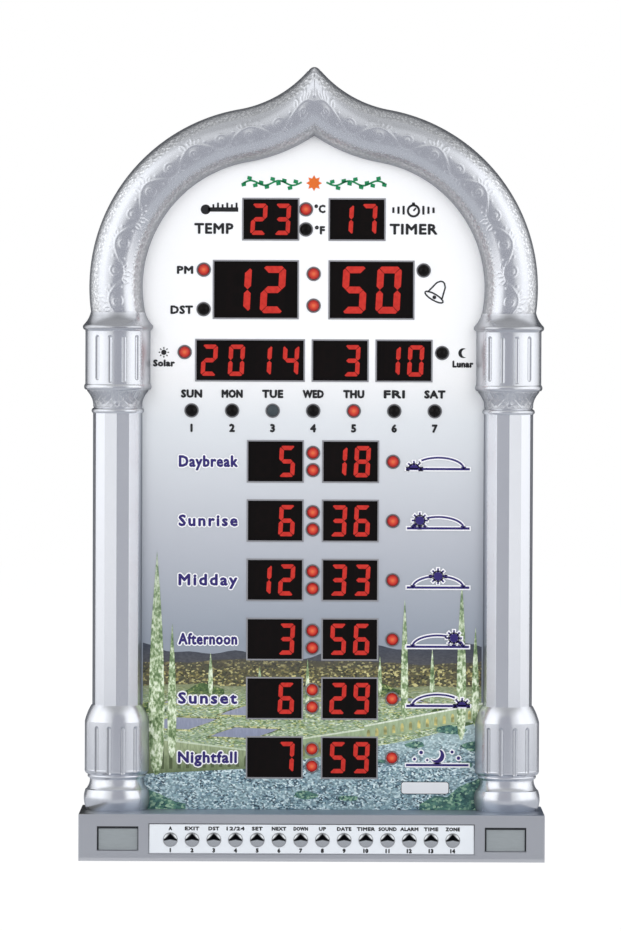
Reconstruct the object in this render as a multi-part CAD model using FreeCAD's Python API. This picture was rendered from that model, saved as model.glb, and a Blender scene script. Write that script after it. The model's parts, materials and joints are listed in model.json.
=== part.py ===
import FreeCAD, Part
import math
import os

# A prayer-time wall and shelf clock: an ogee-arched silver frame of half-round
# mouldings around a printed face with red seven-segment displays, on a plinth
# with fourteen setting buttons. Millimetres. +Z is up, -Y is the face side.
# The origin is the middle of the footprint on the surface that it stands on.

V = FreeCAD.Vector
FAR = 400.0  # reaches past the whole clock, for cutting blocks
BITE = 0.5  # how far a piece that is fused on reaches into the one that it joins

# ---- Plinth ----------------------------------------------------------------
plinth_overhang = 23.5
plinth_height = 30.5
plinth_depth = 68.0
plinth_wall = 2.5
plinth_edge = 0.6
base_thickness = 3.2
base_gap = 0.2
plinth_boss_r = 4.0
plinth_boss_inset = 10.0

# ---- Setting buttons and their strip ---------------------------------------
button_count = 14
button_pitch = 14.0
button_r = 4.3
button_z = 13.9
button_proud = 1.2
button_dome = 1.3
button_gap = 0.4
button_flange = 1.0
button_flange_thickness = 1.0
button_travel = 0.5
button_seat_gap = 0.3
strip_z = 14.5
strip_end_margin = 14.0
strip_height = 19.5
strip_thickness = 0.5
strip_recess = 1.2
strip_gap = 0.2
stem_r = 1.6
stem_length = 4.4
stem_gap = 0.3
switch_side = 6.2
switch_height = 3.6
switch_floor = 0.9
switch_gap = 0.1
badge_shift = 1.8
badge_width = 26.8
badge_height = 15.8
badge_recess = 3.0
badge_plate = 1.2
badge_gap = 0.5
badge_backing = 2.0

# ---- Columns and arch ------------------------------------------------------
column_x = 126.8
ledge_depth = 37.0
pedestal_height = 68.1
pedestal_drum_r = 20.8
pedestal_drum = (26.4, 57.4)
pedestal_flutes = (26.4, 53.3)
shaft_length = 189.4
shaft_r = 16.0
shaft_sides = 12
shaft_edge = 0.7
capital_height = 65.3
capital_drum_r = 21.1
capital_drum = (18.9, 53.3)
capital_flute_margin = 4.2
flute_r = 1.9
flute_depth = 1.0
flute_step = 25.0
flutes_per_side = 2
flute_stagger = 1.6
tube_r = 17.3
arch_outer_r = 117.2
arch_rise = 16.3
counter_outer_r = 76.8
counter_offset_x = 33.8
tip_r = 4.3
shell_wall = 2.2
spigot_height = 4.0
spigot_gap = 0.4
arch_spigot_gap = 1.3
foot_overrun = 4.0  # degrees that the arch's arcs run on past their ends, to be cut off
tip_overrun = 16.0

# ---- Case, face panel and board --------------------------------------------
case_inset = 4.9
case_wall = 2.4
rear_wall = 2.5
lip_width = 1.2
panel_thickness = 2.0
panel_gap = 0.2
window_gap = 0.15
module_recess = 0.4
module_depth = 8.0
board_thickness = 1.6
board_half_width = 92.0
board_bottom = 43.0
board_margin = 19.0
board_post_r = 3.4
board_post_inset = 6.0

# ---- Screws ----------------------------------------------------------------
screw_r = 1.45
pilot_r = 1.5
clear_r = 1.75
head_r = 2.8
head_height = 1.8
head_gap = 0.4
cross_length = 3.2
cross_width = 0.8
cross_depth = 0.9
case_screw_length = 24.0
short_screw_length = 6.0
post_r = 4.6
boss_r = 3.6
boss_depth = 14.0
haunch_screw_turn = 45.0
pedestal_screw_share = 0.65
capital_screw_share = 0.55
tie_screw_shares = (0.4, 0.85)

# ---- Face layout -----------------------------------------------------------
row_count = 6
row_pitch = 38.5
first_row_z = 64.4
row_window_x = 24.4
row_lamp_x = 52.0
colon_half_gap = 5.6
week_z = 289.8
week_pitch = 26.3
week_on = 4
date_z = 322.4
year_x = -41.1
month_x = 17.4
day_x = 58.8
calendar_lamp_x = 83.5
calendar_lamp_rise = 5.2
main_z = 368.3
main_window_x = 37.5
main_colon_half_gap = 10.3
mode_lamp_x = 71.3
mode_lamp_half_gap = 12.8
top_z = 413.9
top_window_x = 28.0
scale_lamp_x = -5.2
scale_lamp_half_gap = 6.5
lamp_r = 3.9
lamp_gap = 0.25
lamp_proud = 3.0
small_width = 36.2
small_height = 26.8
small_pitch = 15.2
year_width = 70.4
year_pitch = 17.6
large_width = 55.0
large_height = 37.5
large_pitch = 22.2
small_digit = (10.4, 20.3, 2.8)
large_digit = (15.8, 30.5, 4.4)
digit_lean = 0.05
segment_depth = 0.3
segment_gap = 0.3
segment_corner = 0.6

# ---- Speaker, power and backup cells ----------------------------------------
speaker_x = 52.0
speaker_z = 111.0
speaker_r = 28.5
speaker_flange = 1.2
speaker_ear_r = 4.0
speaker_depth = 10.0
speaker_wall = 0.9
speaker_ring = 2.0
speaker_post = 3.5
speaker_screw_gap = 0.5
magnet_r = 13.0
magnet_depth = 5.0
cone_thickness = 0.3
cone_standoff = 2.0
coil_r = 5.2
grille_pitch = 6.0
grille_hole_r = 1.5
cell_r = 7.1
cell_length = 49.0
cell_nub_r = 2.7
cell_nub = 1.4
bay_x = -64.0
bay_z = 111.0
bay_end_room = 3.2
bay_wall = 1.5
bay_collar = 4.5
bay_collar_depth = 6.0
cell_gap = 0.25
contact_thickness = 0.5
contact_half_width = 5.7
contact_back_reach = 3.5
contact_play = 0.1
door_thickness = 2.0
door_margin = 2.8
door_gap = 0.3
door_travel = 6.0
door_ledge = 1.2
hook_width = 7.0
hook_stem = 1.1
hook_reach = 1.4
hook_thickness = 1.2
grip_width = 12.0
grip_pitch = 2.0
grip_count = 5
grip_r = 0.5
jack_x = -110.0
jack_z = 14.0
jack_nose_r = 4.2
jack_bore_r = 2.75
jack_pin_r = 1.0
jack_side = 11.0
jack_length = 13.0
jack_gap = 0.1
jack_bore_depth = 9.5
jack_pin_recess = 1.0
hanger_x = 60.0
hanger_z = 397.0
hanger_width = 24.0
hanger_height = 32.0
hanger_thickness = 1.2
hanger_ledge = 3.0
keyhole_r = 4.5
keyhole_slot_r = 2.3
keyhole_rise = 9.0
vent_count = 6
vent_length = 46.0
vent_width = 2.4
vent_pitch = 5.2
vent_z = 433.0
ribbon_width = 20.0
ribbon_thickness = 1.0
ribbon_bend = 10.0
ribbon_standoff = 4.4
plug_height = 8.0
plug_margin = 2.0

# ---- Parts on the board's back: x, height over its middle, sizes -----------
driver_chip = (10.0, 13.0, 2.6)
driver_x = 40.0
driver_rise = 30.0
driver_pitch = 22.0
driver_rows = 4
block_parts = [
    (0.0, 50.0, 16.0, 16.0, 2.0),
    (0.0, 20.0, 9.0, 24.0, 3.6),
    (22.0, 20.0, 10.0, 4.6, 9.0),
]
round_parts = [(-22.0, 0.0, 5.0, 11.5), (-34.0, 0.0, 5.0, 11.5), (-14.0, -14.0, 3.1, 7.0)]

# ---- Places worked out from the sizes above --------------------------------
plinth_width = 2 * (column_x + plinth_overhang)
badge_x = column_x - badge_shift
overall_depth = plinth_depth + button_proud
front_y = -overall_depth / 2 + button_proud
rear_y = overall_depth / 2
face_y = front_y + ledge_depth
panel_back = face_y + panel_thickness
module_front = face_y + module_recess
board_front = module_front + module_depth
board_back = board_front + board_thickness
rear_inner = rear_y - rear_wall
pedestal_top = plinth_height + pedestal_height
capital_base = pedestal_top + shaft_length
capital_top = capital_base + capital_height
arch_z = capital_top + arch_rise
tube_path_r = arch_outer_r - tube_r
arch_x = column_x - math.sqrt(tube_path_r**2 - arch_rise**2)
counter_x = arch_x + counter_offset_x
arc_span = arch_outer_r + counter_outer_r
counter_z = arch_z + math.sqrt(arc_span**2 - counter_offset_x**2)
counter_path_r = counter_outer_r + tube_r
tube_tip_z = counter_z - math.sqrt(counter_path_r**2 - counter_x**2)
strip_width = (button_count - 1) * button_pitch + 2 * strip_end_margin
wall_back = front_y + plinth_wall
cap_back = wall_back + button_seat_gap + button_flange_thickness
switch_front = cap_back + stem_length - (switch_height - switch_floor) + button_travel + switch_gap
key_board_front = switch_front + switch_height
key_board_back = key_board_front + board_thickness
board_top = top_z + board_margin
row_heights = [first_row_z + i * row_pitch for i in range(row_count)][::-1]
cell_room = cell_length + cell_nub
bay_length = cell_room + 2 * bay_end_room
bay_height = 4 * (cell_r + cell_gap)
bay_depth = 2 * (cell_r + cell_gap)
door_inner = rear_y - door_thickness
ledge_top = door_inner - door_gap
hook_top = ledge_top - door_ledge - door_gap
bay_floor = ledge_top - bay_depth
speaker_seat = rear_inner - speaker_post
door_length = bay_length + 2 * door_margin
door_height = bay_height + 2 * door_margin
case_screw_seat = panel_back + case_screw_length / 2


# ---- Small helpers ---------------------------------------------------------
def block(x0, x1, y0, y1, z0, z1):
    return Part.makeBox(x1 - x0, y1 - y0, z1 - z0, V(x0, y0, z0))


def centred_block(x, z, width, height, y0, y1):
    return block(x - width / 2, x + width / 2, y0, y1, z - height / 2, z + height / 2)


def rod_y(x, z, r, y0, y1):
    return Part.makeCylinder(r, y1 - y0, V(x, y0, z), V(0, 1, 0))


def rod_z(x, y, r, z0, z1):
    return Part.makeCylinder(r, z1 - z0, V(x, y, z0), V(0, 0, 1))


def rod_x(y, z, r, x0, x1):
    return Part.makeCylinder(r, x1 - x0, V(x0, y, z), V(1, 0, 0))


def mirrored(shape):
    return shape.mirror(V(0, 0, 0), V(1, 0, 0))


def fused(shapes):
    first, *rest = shapes
    return first.multiFuse(rest).removeSplitter() if rest else first


def cut_all(shape, tools):
    return shape.cut(Part.makeCompound(tools)) if tools else shape


def save(name, shapes):
    solids = [s for shape in shapes for s in shape.Solids]
    kept = solids[0] if len(solids) == 1 else Part.makeCompound(solids)
    kept.exportStep(f"parts/{name}.step")


def polygon_xz(points, y):
    corners = [V(x, y, z) for x, z in points]
    return Part.Face(Part.makePolygon(corners + corners[:1]))


def profile_wire(steps, x, y, grow=0.0):
    """Closed radius-height outline; a step is (r, z), or (r_mid, z_mid, r, z) for an arc."""
    def at(r, z):
        return V(x + max(r + grow, 0.0), y, z)
    here = V(x, y, steps[0][1])
    edges = []
    for step in steps:
        goal = at(step[-2], step[-1])
        if len(step) == 4:
            edges.append(Part.Arc(here, at(step[0], step[1]), goal).toShape())
        else:
            edges.append(Part.LineSegment(here, goal).toShape())
        here = goal
    top = V(x, y, here.z)
    edges.append(Part.LineSegment(here, top).toShape())
    edges.append(Part.LineSegment(top, V(x, y, steps[0][1])).toShape())
    return Part.Wire(edges)


def half_turned(steps, x, grow=0.0):
    """Half-round solid on the face plane, turned about the upright line at x."""
    face = Part.Face(profile_wire(steps, x, face_y, grow))
    return face.revolve(V(x, face_y, 0), V(0, 0, -1), 180)


def outline_face(inset, foot_z, y):
    """The frame's ogee outline, drawn inside its outer edge by inset."""
    big_r = arch_outer_r - inset
    small_r = counter_outer_r + inset
    side = arch_x + big_r
    turn = math.atan2(counter_z - arch_z, counter_x - arch_x)
    tip_z = counter_z - math.sqrt(small_r**2 - counter_x**2)
    tip_turn = math.atan2(tip_z - counter_z, -counter_x)
    meet_turn = turn - math.pi

    def on_big(angle):
        return V(arch_x + big_r * math.cos(angle), y, arch_z + big_r * math.sin(angle))

    def on_small(angle):
        return V(counter_x + small_r * math.cos(angle), y, counter_z + small_r * math.sin(angle))
    meet = on_big(turn)
    tip = V(0, y, tip_z)
    half = [
        Part.LineSegment(V(side, y, foot_z), V(side, y, arch_z)).toShape(),
        Part.Arc(V(side, y, arch_z), on_big(turn / 2), meet).toShape(),
        Part.Arc(meet, on_small((meet_turn + tip_turn) / 2), tip).toShape(),
    ]
    foot = Part.LineSegment(V(-side, y, foot_z), V(side, y, foot_z)).toShape()
    edges = [foot] + half + [mirrored(edge) for edge in half]
    return Part.Face(Part.Wire(Part.__sortEdges__(edges)))


def outline_block(inset, foot_z, y0, y1):
    return outline_face(inset, foot_z, y0).extrude(V(0, y1 - y0, 0))


# ---- Places that several pieces share --------------------------------------
def case_screw_places():
    """The frame mouldings are screwed from behind at these (x, z) places."""
    haunch = math.radians(haunch_screw_turn)
    haunch_x = arch_x + tube_path_r * math.cos(haunch)
    haunch_z = arch_z + tube_path_r * math.sin(haunch)
    side = [
        (column_x, plinth_height + pedestal_screw_share * pedestal_height),
        (column_x, (pedestal_top + capital_base) / 2),
        (column_x, capital_base + capital_screw_share * capital_height),
        (haunch_x, haunch_z),
    ]
    return [(0.0, tube_tip_z)] + side + [(-x, z) for x, z in side]


def board_post_places():
    x = board_half_width - board_post_inset
    low = board_bottom + board_post_inset
    high = board_top - board_post_inset
    return [(s * x, z) for s in (-1, 1) for z in (low, (low + high) / 2, high)]


def plinth_boss_places():
    x = plinth_width / 2 - plinth_boss_inset
    y = plinth_depth / 2 - plinth_boss_inset - plinth_wall
    middle = (front_y + rear_y) / 2
    return [(sx * x, middle + sy * y) for sx in (-1, 1) for sy in (-1, 1)]


def key_post_places():
    x = strip_width / 2 - board_post_inset
    rise = strip_height / 2 - board_post_r
    return [(s * x, button_z + t * rise) for s in (-1, 1) for t in (-1, 1)]


def speaker_screw_places():
    r = speaker_r + screw_r + speaker_screw_gap
    turns = [math.radians(45 + 90 * i) for i in range(4)]
    return [(speaker_x + r * math.cos(t), speaker_z + r * math.sin(t)) for t in turns]


def tie_screw_places():
    """Upright screws that tie the plinth's top to the case's floor, as (x, y)."""
    y = (board_back + rear_inner) / 2
    return [(side * share * column_x, y) for side in (-1, 1) for share in tie_screw_shares]


def button_places():
    middle = (button_count - 1) / 2
    return [(i - middle) * button_pitch for i in range(button_count)]


def display_places():
    """Name, x, z, width, height, digit pitch, digit sizes and the reading of each display."""
    small = (small_width, small_height, small_pitch, small_digit)
    large = (large_width, large_height, large_pitch, large_digit)
    year = (year_width, small_height, year_pitch, small_digit)
    places = {
        "display_temperature": [(-top_window_x, top_z, *small, "23")],
        "display_countdown": [(top_window_x, top_z, *small, "17")],
        "display_hours": [(-main_window_x, main_z, *large, "12")],
        "display_minutes": [(main_window_x, main_z, *large, "50")],
        "display_year": [(year_x, date_z, *year, "2014")],
        "display_month": [(month_x, date_z, *small, " 3")],
        "display_day": [(day_x, date_z, *small, "10")],
    }
    readings = ((" 5", "18"), (" 6", "36"), ("12", "33"), (" 3", "56"), (" 6", "29"), (" 7", "59"))
    for number, z in enumerate(row_heights, start=1):
        hours, minutes = readings[(number - 1) % len(readings)]
        places[f"display_row_{number}"] = [
            (-row_window_x, z, *small, hours),
            (row_window_x, z, *small, minutes),
        ]
    return places


def lamp_places():
    """(x, z) of the lamps that are lit, and of those that are dark."""
    lit = [(0.0, main_z + s * main_colon_half_gap) for s in (-1, 1)]
    for z in row_heights:
        lit += [(0.0, z - colon_half_gap), (0.0, z + colon_half_gap), (row_lamp_x, z)]
    lit.append((scale_lamp_x, top_z + scale_lamp_half_gap))
    lit.append((-mode_lamp_x, main_z + mode_lamp_half_gap))
    lit.append((-calendar_lamp_x, date_z + calendar_lamp_rise))
    dark = [(scale_lamp_x, top_z - scale_lamp_half_gap)]
    dark.append((-mode_lamp_x, main_z - mode_lamp_half_gap))
    dark.append((mode_lamp_x, main_z + mode_lamp_half_gap))
    dark.append((calendar_lamp_x, date_z + calendar_lamp_rise))
    for day in range(7):
        place = ((day - 3) * week_pitch, week_z)
        (lit if day == week_on else dark).append(place)
    return lit, dark


# ---- Fasteners -------------------------------------------------------------
def screw(length):
    """Pan-head screw at the origin: head on +Z, shank down -Z."""
    head = Part.makeCylinder(head_r, head_height)
    head = head.makeFillet(0.5 * head_height, [head.Edges[0]])
    shank = Part.makeCylinder(screw_r, length, V(0, 0, -length))
    body = head.fuse(shank).removeSplitter()
    arm = Part.makeBox(cross_length, cross_width, cross_depth, V(-cross_length / 2, -cross_width / 2, 0))
    other = arm.copy()
    other.rotate(V(0, 0, 0), V(0, 0, 1), 90)
    cross = arm.fuse(other)
    cross.translate(V(0, 0, head_height - cross_depth))
    return body.cut(cross)


def placed_screw(length, point, axis):
    made = screw(length)
    made.Placement = FreeCAD.Placement(point, FreeCAD.Rotation(V(0, 0, 1), axis))
    return made


def make_screws():
    long_ones = [
        placed_screw(case_screw_length, V(x, case_screw_seat, z), V(0, 1, 0))
        for x, z in case_screw_places()
    ]
    save("case_screws", long_ones)
    short = []
    for x, z in board_post_places():
        short.append(placed_screw(short_screw_length, V(x, board_front, z), V(0, -1, 0)))
    for x, z in key_post_places():
        short.append(placed_screw(short_screw_length, V(x, key_board_back, z), V(0, 1, 0)))
    for x, z in speaker_screw_places():
        short.append(placed_screw(short_screw_length, V(x, speaker_seat - speaker_flange, z), V(0, -1, 0)))
    for x, y in tie_screw_places():
        under = plinth_height - plinth_wall
        short.append(placed_screw(short_screw_length, V(x, y, under), V(0, 0, -1)))
    for x, y in plinth_boss_places():
        short.append(placed_screw(short_screw_length, V(x, y, head_height + head_gap), V(0, 0, -1)))
    save("short_screws", short)


# ---- Plinth ----------------------------------------------------------------
def make_plinth():
    half = plinth_width / 2
    shell = block(-half, half, front_y, rear_y, 0, plinth_height)
    upright = [e for e in shell.Edges if e.BoundBox.ZLength > plinth_height - 1]
    top_edges = [e for e in shell.Edges if e.BoundBox.ZMin > plinth_height - 1]
    shell = shell.makeChamfer(plinth_edge, upright + top_edges)
    inner = half - plinth_wall
    inner_top = plinth_height - plinth_wall
    shell = shell.cut(block(-inner, inner, wall_back, rear_inner, -1, inner_top))
    added = [rod_z(x, y, plinth_boss_r, base_thickness, inner_top + 1) for x, y in plinth_boss_places()]
    added += [rod_y(x, z, board_post_r, wall_back - BITE, key_board_front) for x, z in key_post_places()]
    backing_back = front_y + badge_recess + badge_backing
    for side in (-1, 1):
        pad = 2 * (badge_backing + badge_gap)
        added.append(centred_block(side * badge_x, strip_z, badge_width + pad, badge_height + pad,
                                   wall_back - BITE, backing_back))
    shell = fused([shell] + added)
    cuts = [centred_block(0, strip_z, strip_width + 2 * strip_gap, strip_height + 2 * strip_gap,
                          front_y - 1, front_y + strip_recess)]
    for x in button_places():
        cuts.append(rod_y(x, button_z, button_r + button_gap, front_y - 1, wall_back + 1))
    for side in (-1, 1):
        cuts.append(centred_block(side * badge_x, strip_z, badge_width, badge_height,
                                  front_y - 1, front_y + badge_recess))
    for x, y in plinth_boss_places():
        cuts.append(rod_z(x, y, pilot_r, base_thickness - 1, base_thickness + short_screw_length + 1))
    for x, z in key_post_places():
        cuts.append(rod_y(x, z, pilot_r, key_board_front - short_screw_length, key_board_front + 1))
    for x, y in tie_screw_places():
        cuts.append(rod_z(x, y, clear_r, inner_top - 1, plinth_height + 1))
    cuts.append(ribbon_slot(inner_top - 1, plinth_height + 1))
    cuts.append(rod_y(jack_x, jack_z, jack_nose_r + jack_gap, rear_inner - 1, rear_y + 1))
    save("plinth_shell", [cut_all(shell, cuts)])


def make_base_plate():
    half = plinth_width / 2 - plinth_wall - base_gap
    plate = block(-half, half, wall_back + base_gap, rear_inner - base_gap, 0, base_thickness)
    cuts = []
    for x, y in plinth_boss_places():
        cuts.append(rod_z(x, y, head_r + head_gap, -1, head_height + head_gap))
        cuts.append(rod_z(x, y, clear_r, -1, base_thickness + 1))
    save("base_plate", [cut_all(plate, cuts)])


def make_strip():
    strip = centred_block(0, strip_z, strip_width, strip_height,
                          front_y + strip_recess - strip_thickness, front_y + strip_recess)
    holes = [rod_y(x, button_z, button_r + button_gap, front_y - 1, wall_back) for x in button_places()]
    save("button_strip", [cut_all(strip, holes)])
    floor = front_y + badge_recess
    plates = [
        centred_block(side * badge_x, strip_z, badge_width - 2 * badge_gap, badge_height - 2 * badge_gap,
                      floor - badge_plate, floor)
        for side in (-1, 1)
    ]
    save("badge_plates", plates)


def make_buttons():
    """A domed cap with a retaining flange, pressed on the stem of its switch."""
    apex = front_y - button_proud
    flange_front = wall_back + button_seat_gap
    for number, x in enumerate(button_places(), start=1):
        rim = apex + button_dome
        sphere_r = (button_r**2 + button_dome**2) / (2 * button_dome)
        ball = Part.makeSphere(sphere_r, V(x, apex + sphere_r, button_z))
        dome = ball.common(rod_y(x, button_z, button_r, apex - 1, rim))
        barrel = rod_y(x, button_z, button_r, rim, cap_back)
        flange = rod_y(x, button_z, button_r + button_flange, flange_front, cap_back)
        cap = fused([dome, barrel, flange])
        stem = rod_y(x, button_z, stem_r, cap_back, cap_back + stem_length)
        save(f"button_{number:02d}", [cap, stem])


def make_key_board():
    half = strip_width / 2 - 1
    board = block(-half, half, key_board_front, key_board_back,
                  button_z - strip_height / 2, button_z + strip_height / 2)
    holes = [rod_y(x, z, clear_r, key_board_front - 1, key_board_back + 1) for x, z in key_post_places()]
    save("key_board", [cut_all(board, holes)])
    switches = []
    for x in button_places():
        body = centred_block(x, button_z, switch_side, switch_side, switch_front, key_board_front)
        well = rod_y(x, button_z, stem_r + stem_gap, switch_front - 1, key_board_front - switch_floor)
        switches.append(body.cut(well))
    save("tact_switches", switches)


# ---- Frame mouldings -------------------------------------------------------
def pedestal_steps():
    """Torus foot, waist, bead, fluted drum and a shoulder that closes in on the shaft."""
    z = plinth_height
    r = pedestal_drum_r
    low, high = pedestal_drum
    return [
        (r - 1.2, z),
        (r + 0.5, z + 8.6, r - 0.5, z + 13.2),
        (r - 1.2, z + 13.7),
        (r - 2.9, z + 16.8, r - 3.4, low + z - 6.4),
        (r - 3.0, low + z - 5.8),
        (r - 1.9, low + z - 4.6, r - 2.4, low + z - 3.4),
        (r - 0.2, low + z - 1.8, r, low + z),
        (r, high + z),
        (r - 1.6, high + z + 5.2, shaft_r + 0.5, z + pedestal_height),
    ]


def capital_steps():
    """Neck bead, leaf hollow, ring, fluted drum, lip and a hollow that closes in on the arch."""
    z = capital_base
    r = capital_drum_r
    low, high = capital_drum
    return [
        (shaft_r + 0.2, z),
        (shaft_r + 1.0, z + 1.5, shaft_r + 0.2, z + 3.0),
        (shaft_r - 0.4, z + 3.4),
        (shaft_r + 0.3, z + 9.4, r - 0.9, low + z - 3.9),
        (r, low + z - 3.7),
        (r + 0.8, low + z - 1.9, r, low + z),
        (r, high + z),
        (r + 0.3, high + z + 0.5),
        (r + 1.7, high + z + 2.2, r + 1.1, high + z + 3.9),
        (tube_r + 2.0, high + z + 7.8, tube_r + 0.4, z + capital_height),
    ]


def flutes(x, r, low, high):
    """Upright grooves with ball ends around the front of a drum; the middle two reach lower."""
    made = []
    reach = r + flute_r - flute_depth
    for i in range(-flutes_per_side, flutes_per_side):
        turn = math.radians((i + 0.5) * flute_step)
        fx = x + reach * math.sin(turn)
        fy = face_y - reach * math.cos(turn)
        foot = low - flute_stagger if i in (-1, 0) else low
        made.append(rod_z(fx, fy, flute_r, foot, high))
        made += [Part.makeSphere(flute_r, V(fx, fy, z)) for z in (foot, high)]
    return made


def backed(core):
    """A moulding's cavity, cut short of a rear web where the case doesn't back the moulding."""
    web_y = face_y - shell_wall
    front = core.common(block(-FAR, FAR, web_y - FAR, web_y, 0, 2 * FAR))
    back = core.common(outline_block(case_inset + lip_width, 0, web_y, face_y + 1))
    return fused([front, back])


def hollowed(outer, steps, x, low, high):
    """A half-turned moulding made hollow, with a wall at both ends."""
    core = half_turned(steps, x, -shell_wall)
    room = block(x - FAR, x + FAR, face_y - FAR, face_y + 1, low + shell_wall, high - shell_wall)
    return outer.cut(backed(core.common(room)))


def boss(x, z, front_reach):
    """Screw boss inside a moulding, and its pilot hole."""
    post = rod_y(x, z, boss_r, face_y - front_reach, face_y)
    pilot = rod_y(x, z, pilot_r, face_y - boss_depth, face_y + 1)
    return post, pilot


def spigot(x, low, gap, outer_r):
    """Half-round locating stub that stands inside the next moulding's end."""
    r = outer_r - shell_wall - gap
    stub = rod_z(x, face_y, r, low, low + spigot_height)
    stub = stub.cut(rod_z(x, face_y, r - shell_wall, low - 1, low + spigot_height + 1))
    back = face_y - shell_wall - spigot_gap
    return stub.common(block(x - FAR, x + FAR, back - FAR, back, low, low + spigot_height))


def make_pedestals(screws):
    steps = pedestal_steps()
    x = column_x
    shaft_inner = shaft_r * math.cos(math.pi / shaft_sides)
    solid = half_turned(steps, x)
    shell = hollowed(solid, steps, x, plinth_height, pedestal_top)
    post, pilot = boss(*screws[1], pedestal_drum_r - shell_wall / 2)
    stub = spigot(x, pedestal_top, spigot_gap, shaft_inner)
    low, high = pedestal_flutes
    grooves = flutes(x, pedestal_drum_r, plinth_height + low, plinth_height + high)
    made = cut_all(fused([shell, post.common(solid), stub]), [pilot] + grooves)
    save("pedestal_right", [made])
    save("pedestal_left", [mirrored(made)])


def make_capitals(screws):
    steps = capital_steps()
    x = column_x
    shaft_inner = shaft_r * math.cos(math.pi / shaft_sides)
    solid = half_turned(steps, x)
    shell = hollowed(solid, steps, x, capital_base, capital_top)
    post, pilot = boss(*screws[3], capital_drum_r - shell_wall / 2)
    lower = spigot(x, capital_base - spigot_height, spigot_gap, shaft_inner)
    upper = spigot(x, capital_top, arch_spigot_gap, tube_r)
    low, high = capital_drum
    grooves = flutes(x, capital_drum_r, capital_base + low + capital_flute_margin,
                     capital_base + high - capital_flute_margin)
    made = cut_all(fused([shell, post.common(solid), lower, upper]), [pilot] + grooves)
    save("capital_right", [made])
    save("capital_left", [mirrored(made)])


def shaft_prism(r):
    turns = [math.pi * i / (shaft_sides // 2) for i in range(shaft_sides // 2 + 1)]
    corners = [V(column_x + r * math.cos(t), face_y - r * math.sin(t), pedestal_top) for t in turns]
    return Part.Face(Part.makePolygon(corners + corners[:1])).extrude(V(0, 0, shaft_length))


def make_shafts(screws):
    solid = shaft_prism(shaft_r)
    ridges = [
        e for e in solid.Edges
        if e.BoundBox.ZLength > shaft_length / 2 and e.BoundBox.YMax < face_y - shaft_edge
    ]
    solid = solid.makeFillet(shaft_edge, ridges)
    hollow = shaft_prism(shaft_r - shell_wall / math.cos(math.pi / shaft_sides))
    post, pilot = boss(*screws[2], shaft_r - shell_wall)
    made = fused([solid.cut(backed(hollow)), post]).cut(pilot)
    save("shaft_right", [made])
    save("shaft_left", [mirrored(made)])


def tube_turn(centre_x, centre_z, path_r, start, sweep, r):
    """Half-round bar of radius r bent about an axis along Y; start and sweep are in degrees."""
    middle = centre_x + path_r
    arc = Part.Arc(V(middle - r, face_y, centre_z), V(middle, face_y - r, centre_z),
                   V(middle + r, face_y, centre_z)).toShape()
    back = Part.LineSegment(V(middle + r, face_y, centre_z), V(middle - r, face_y, centre_z)).toShape()
    face = Part.Face(Part.Wire([arc, back]))
    face.rotate(V(centre_x, face_y, centre_z), V(0, -1, 0), start)
    return face.revolve(V(centre_x, face_y, centre_z), V(0, -1, 0), sweep)


def arch_half(r):
    """One side of the arch, from the capital to the middle plane."""
    turn = math.degrees(math.atan2(counter_z - arch_z, counter_x - arch_x))
    tip_turn = math.degrees(math.atan2(tube_tip_z - counter_z, -counter_x))
    dip = math.degrees(math.asin(arch_rise / tube_path_r)) + foot_overrun
    haunch = tube_turn(arch_x, arch_z, tube_path_r, -dip, turn + dip, r)
    crown = tube_turn(counter_x, counter_z, counter_path_r, tip_turn - tip_overrun,
                      turn - 180 - tip_turn + tip_overrun, r)
    keep = block(0, FAR, face_y - FAR, face_y, capital_top, counter_z + FAR)
    return fused([haunch, crown]).common(keep)


def make_arch(screws):
    outer = arch_half(tube_r)
    outer = outer.fuse(mirrored(outer)).removeSplitter()
    inner = arch_half(tube_r - shell_wall)
    inner = backed(inner.fuse(mirrored(inner)))
    tip_z = counter_z - math.sqrt(counter_outer_r**2 - counter_x**2)
    lean = math.asin((counter_z - tip_z) / counter_outer_r)
    round_z = tip_z - tip_r / math.sin(lean)
    low = round_z + tip_r * math.sin(lean)
    cutter = block(-4 * tip_r, 4 * tip_r, face_y - 2 * tube_r, face_y + 1, low, tip_z + tip_r)
    cutter = cutter.cut(rod_y(0, round_z, tip_r, face_y - 2 * tube_r, face_y + 1))
    outer = outer.cut(cutter)
    posts, pilots = [], []
    for x, z in (screws[0], screws[4], screws[8]):
        post, pilot = boss(x, z, tube_r - shell_wall / 2)
        posts.append(post)
        pilots.append(pilot)
    made = cut_all(fused([outer.cut(inner)] + posts), pilots)
    save("arch_molding", [made])


# ---- Case ------------------------------------------------------------------
def ribbon_slot(z0, z1):
    middle = board_back + ribbon_standoff
    half = ribbon_width / 2 + plug_margin
    return block(-half, half, middle - 3 * ribbon_thickness, middle + 3 * ribbon_thickness, z0, z1)


def speaker_holes():
    made = []
    reach = speaker_r - 3 * grille_hole_r
    rows = int(reach / (grille_pitch * math.sqrt(3) / 2))
    for row in range(-rows, rows + 1):
        shift = 0.5 * (row % 2)
        dz = row * grille_pitch * math.sqrt(3) / 2
        for column in range(-rows - 1, rows + 2):
            dx = (column + shift) * grille_pitch
            if math.hypot(dx, dz) < reach:
                made.append(rod_y(speaker_x + dx, speaker_z + dz, grille_hole_r, rear_inner - 1, rear_y + 1))
    return made


def hook_places():
    """Each door hook's middle, and the side of the bay that it hooks under, as (x, side)."""
    return [(bay_x + s * door_length / 4, t) for s in (-1, 1) for t in (-1, 1)]


def between(side, start, end):
    """Two heights above or below the bay's middle, low one first."""
    return sorted((bay_z + side * start, bay_z + side * end))


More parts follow.
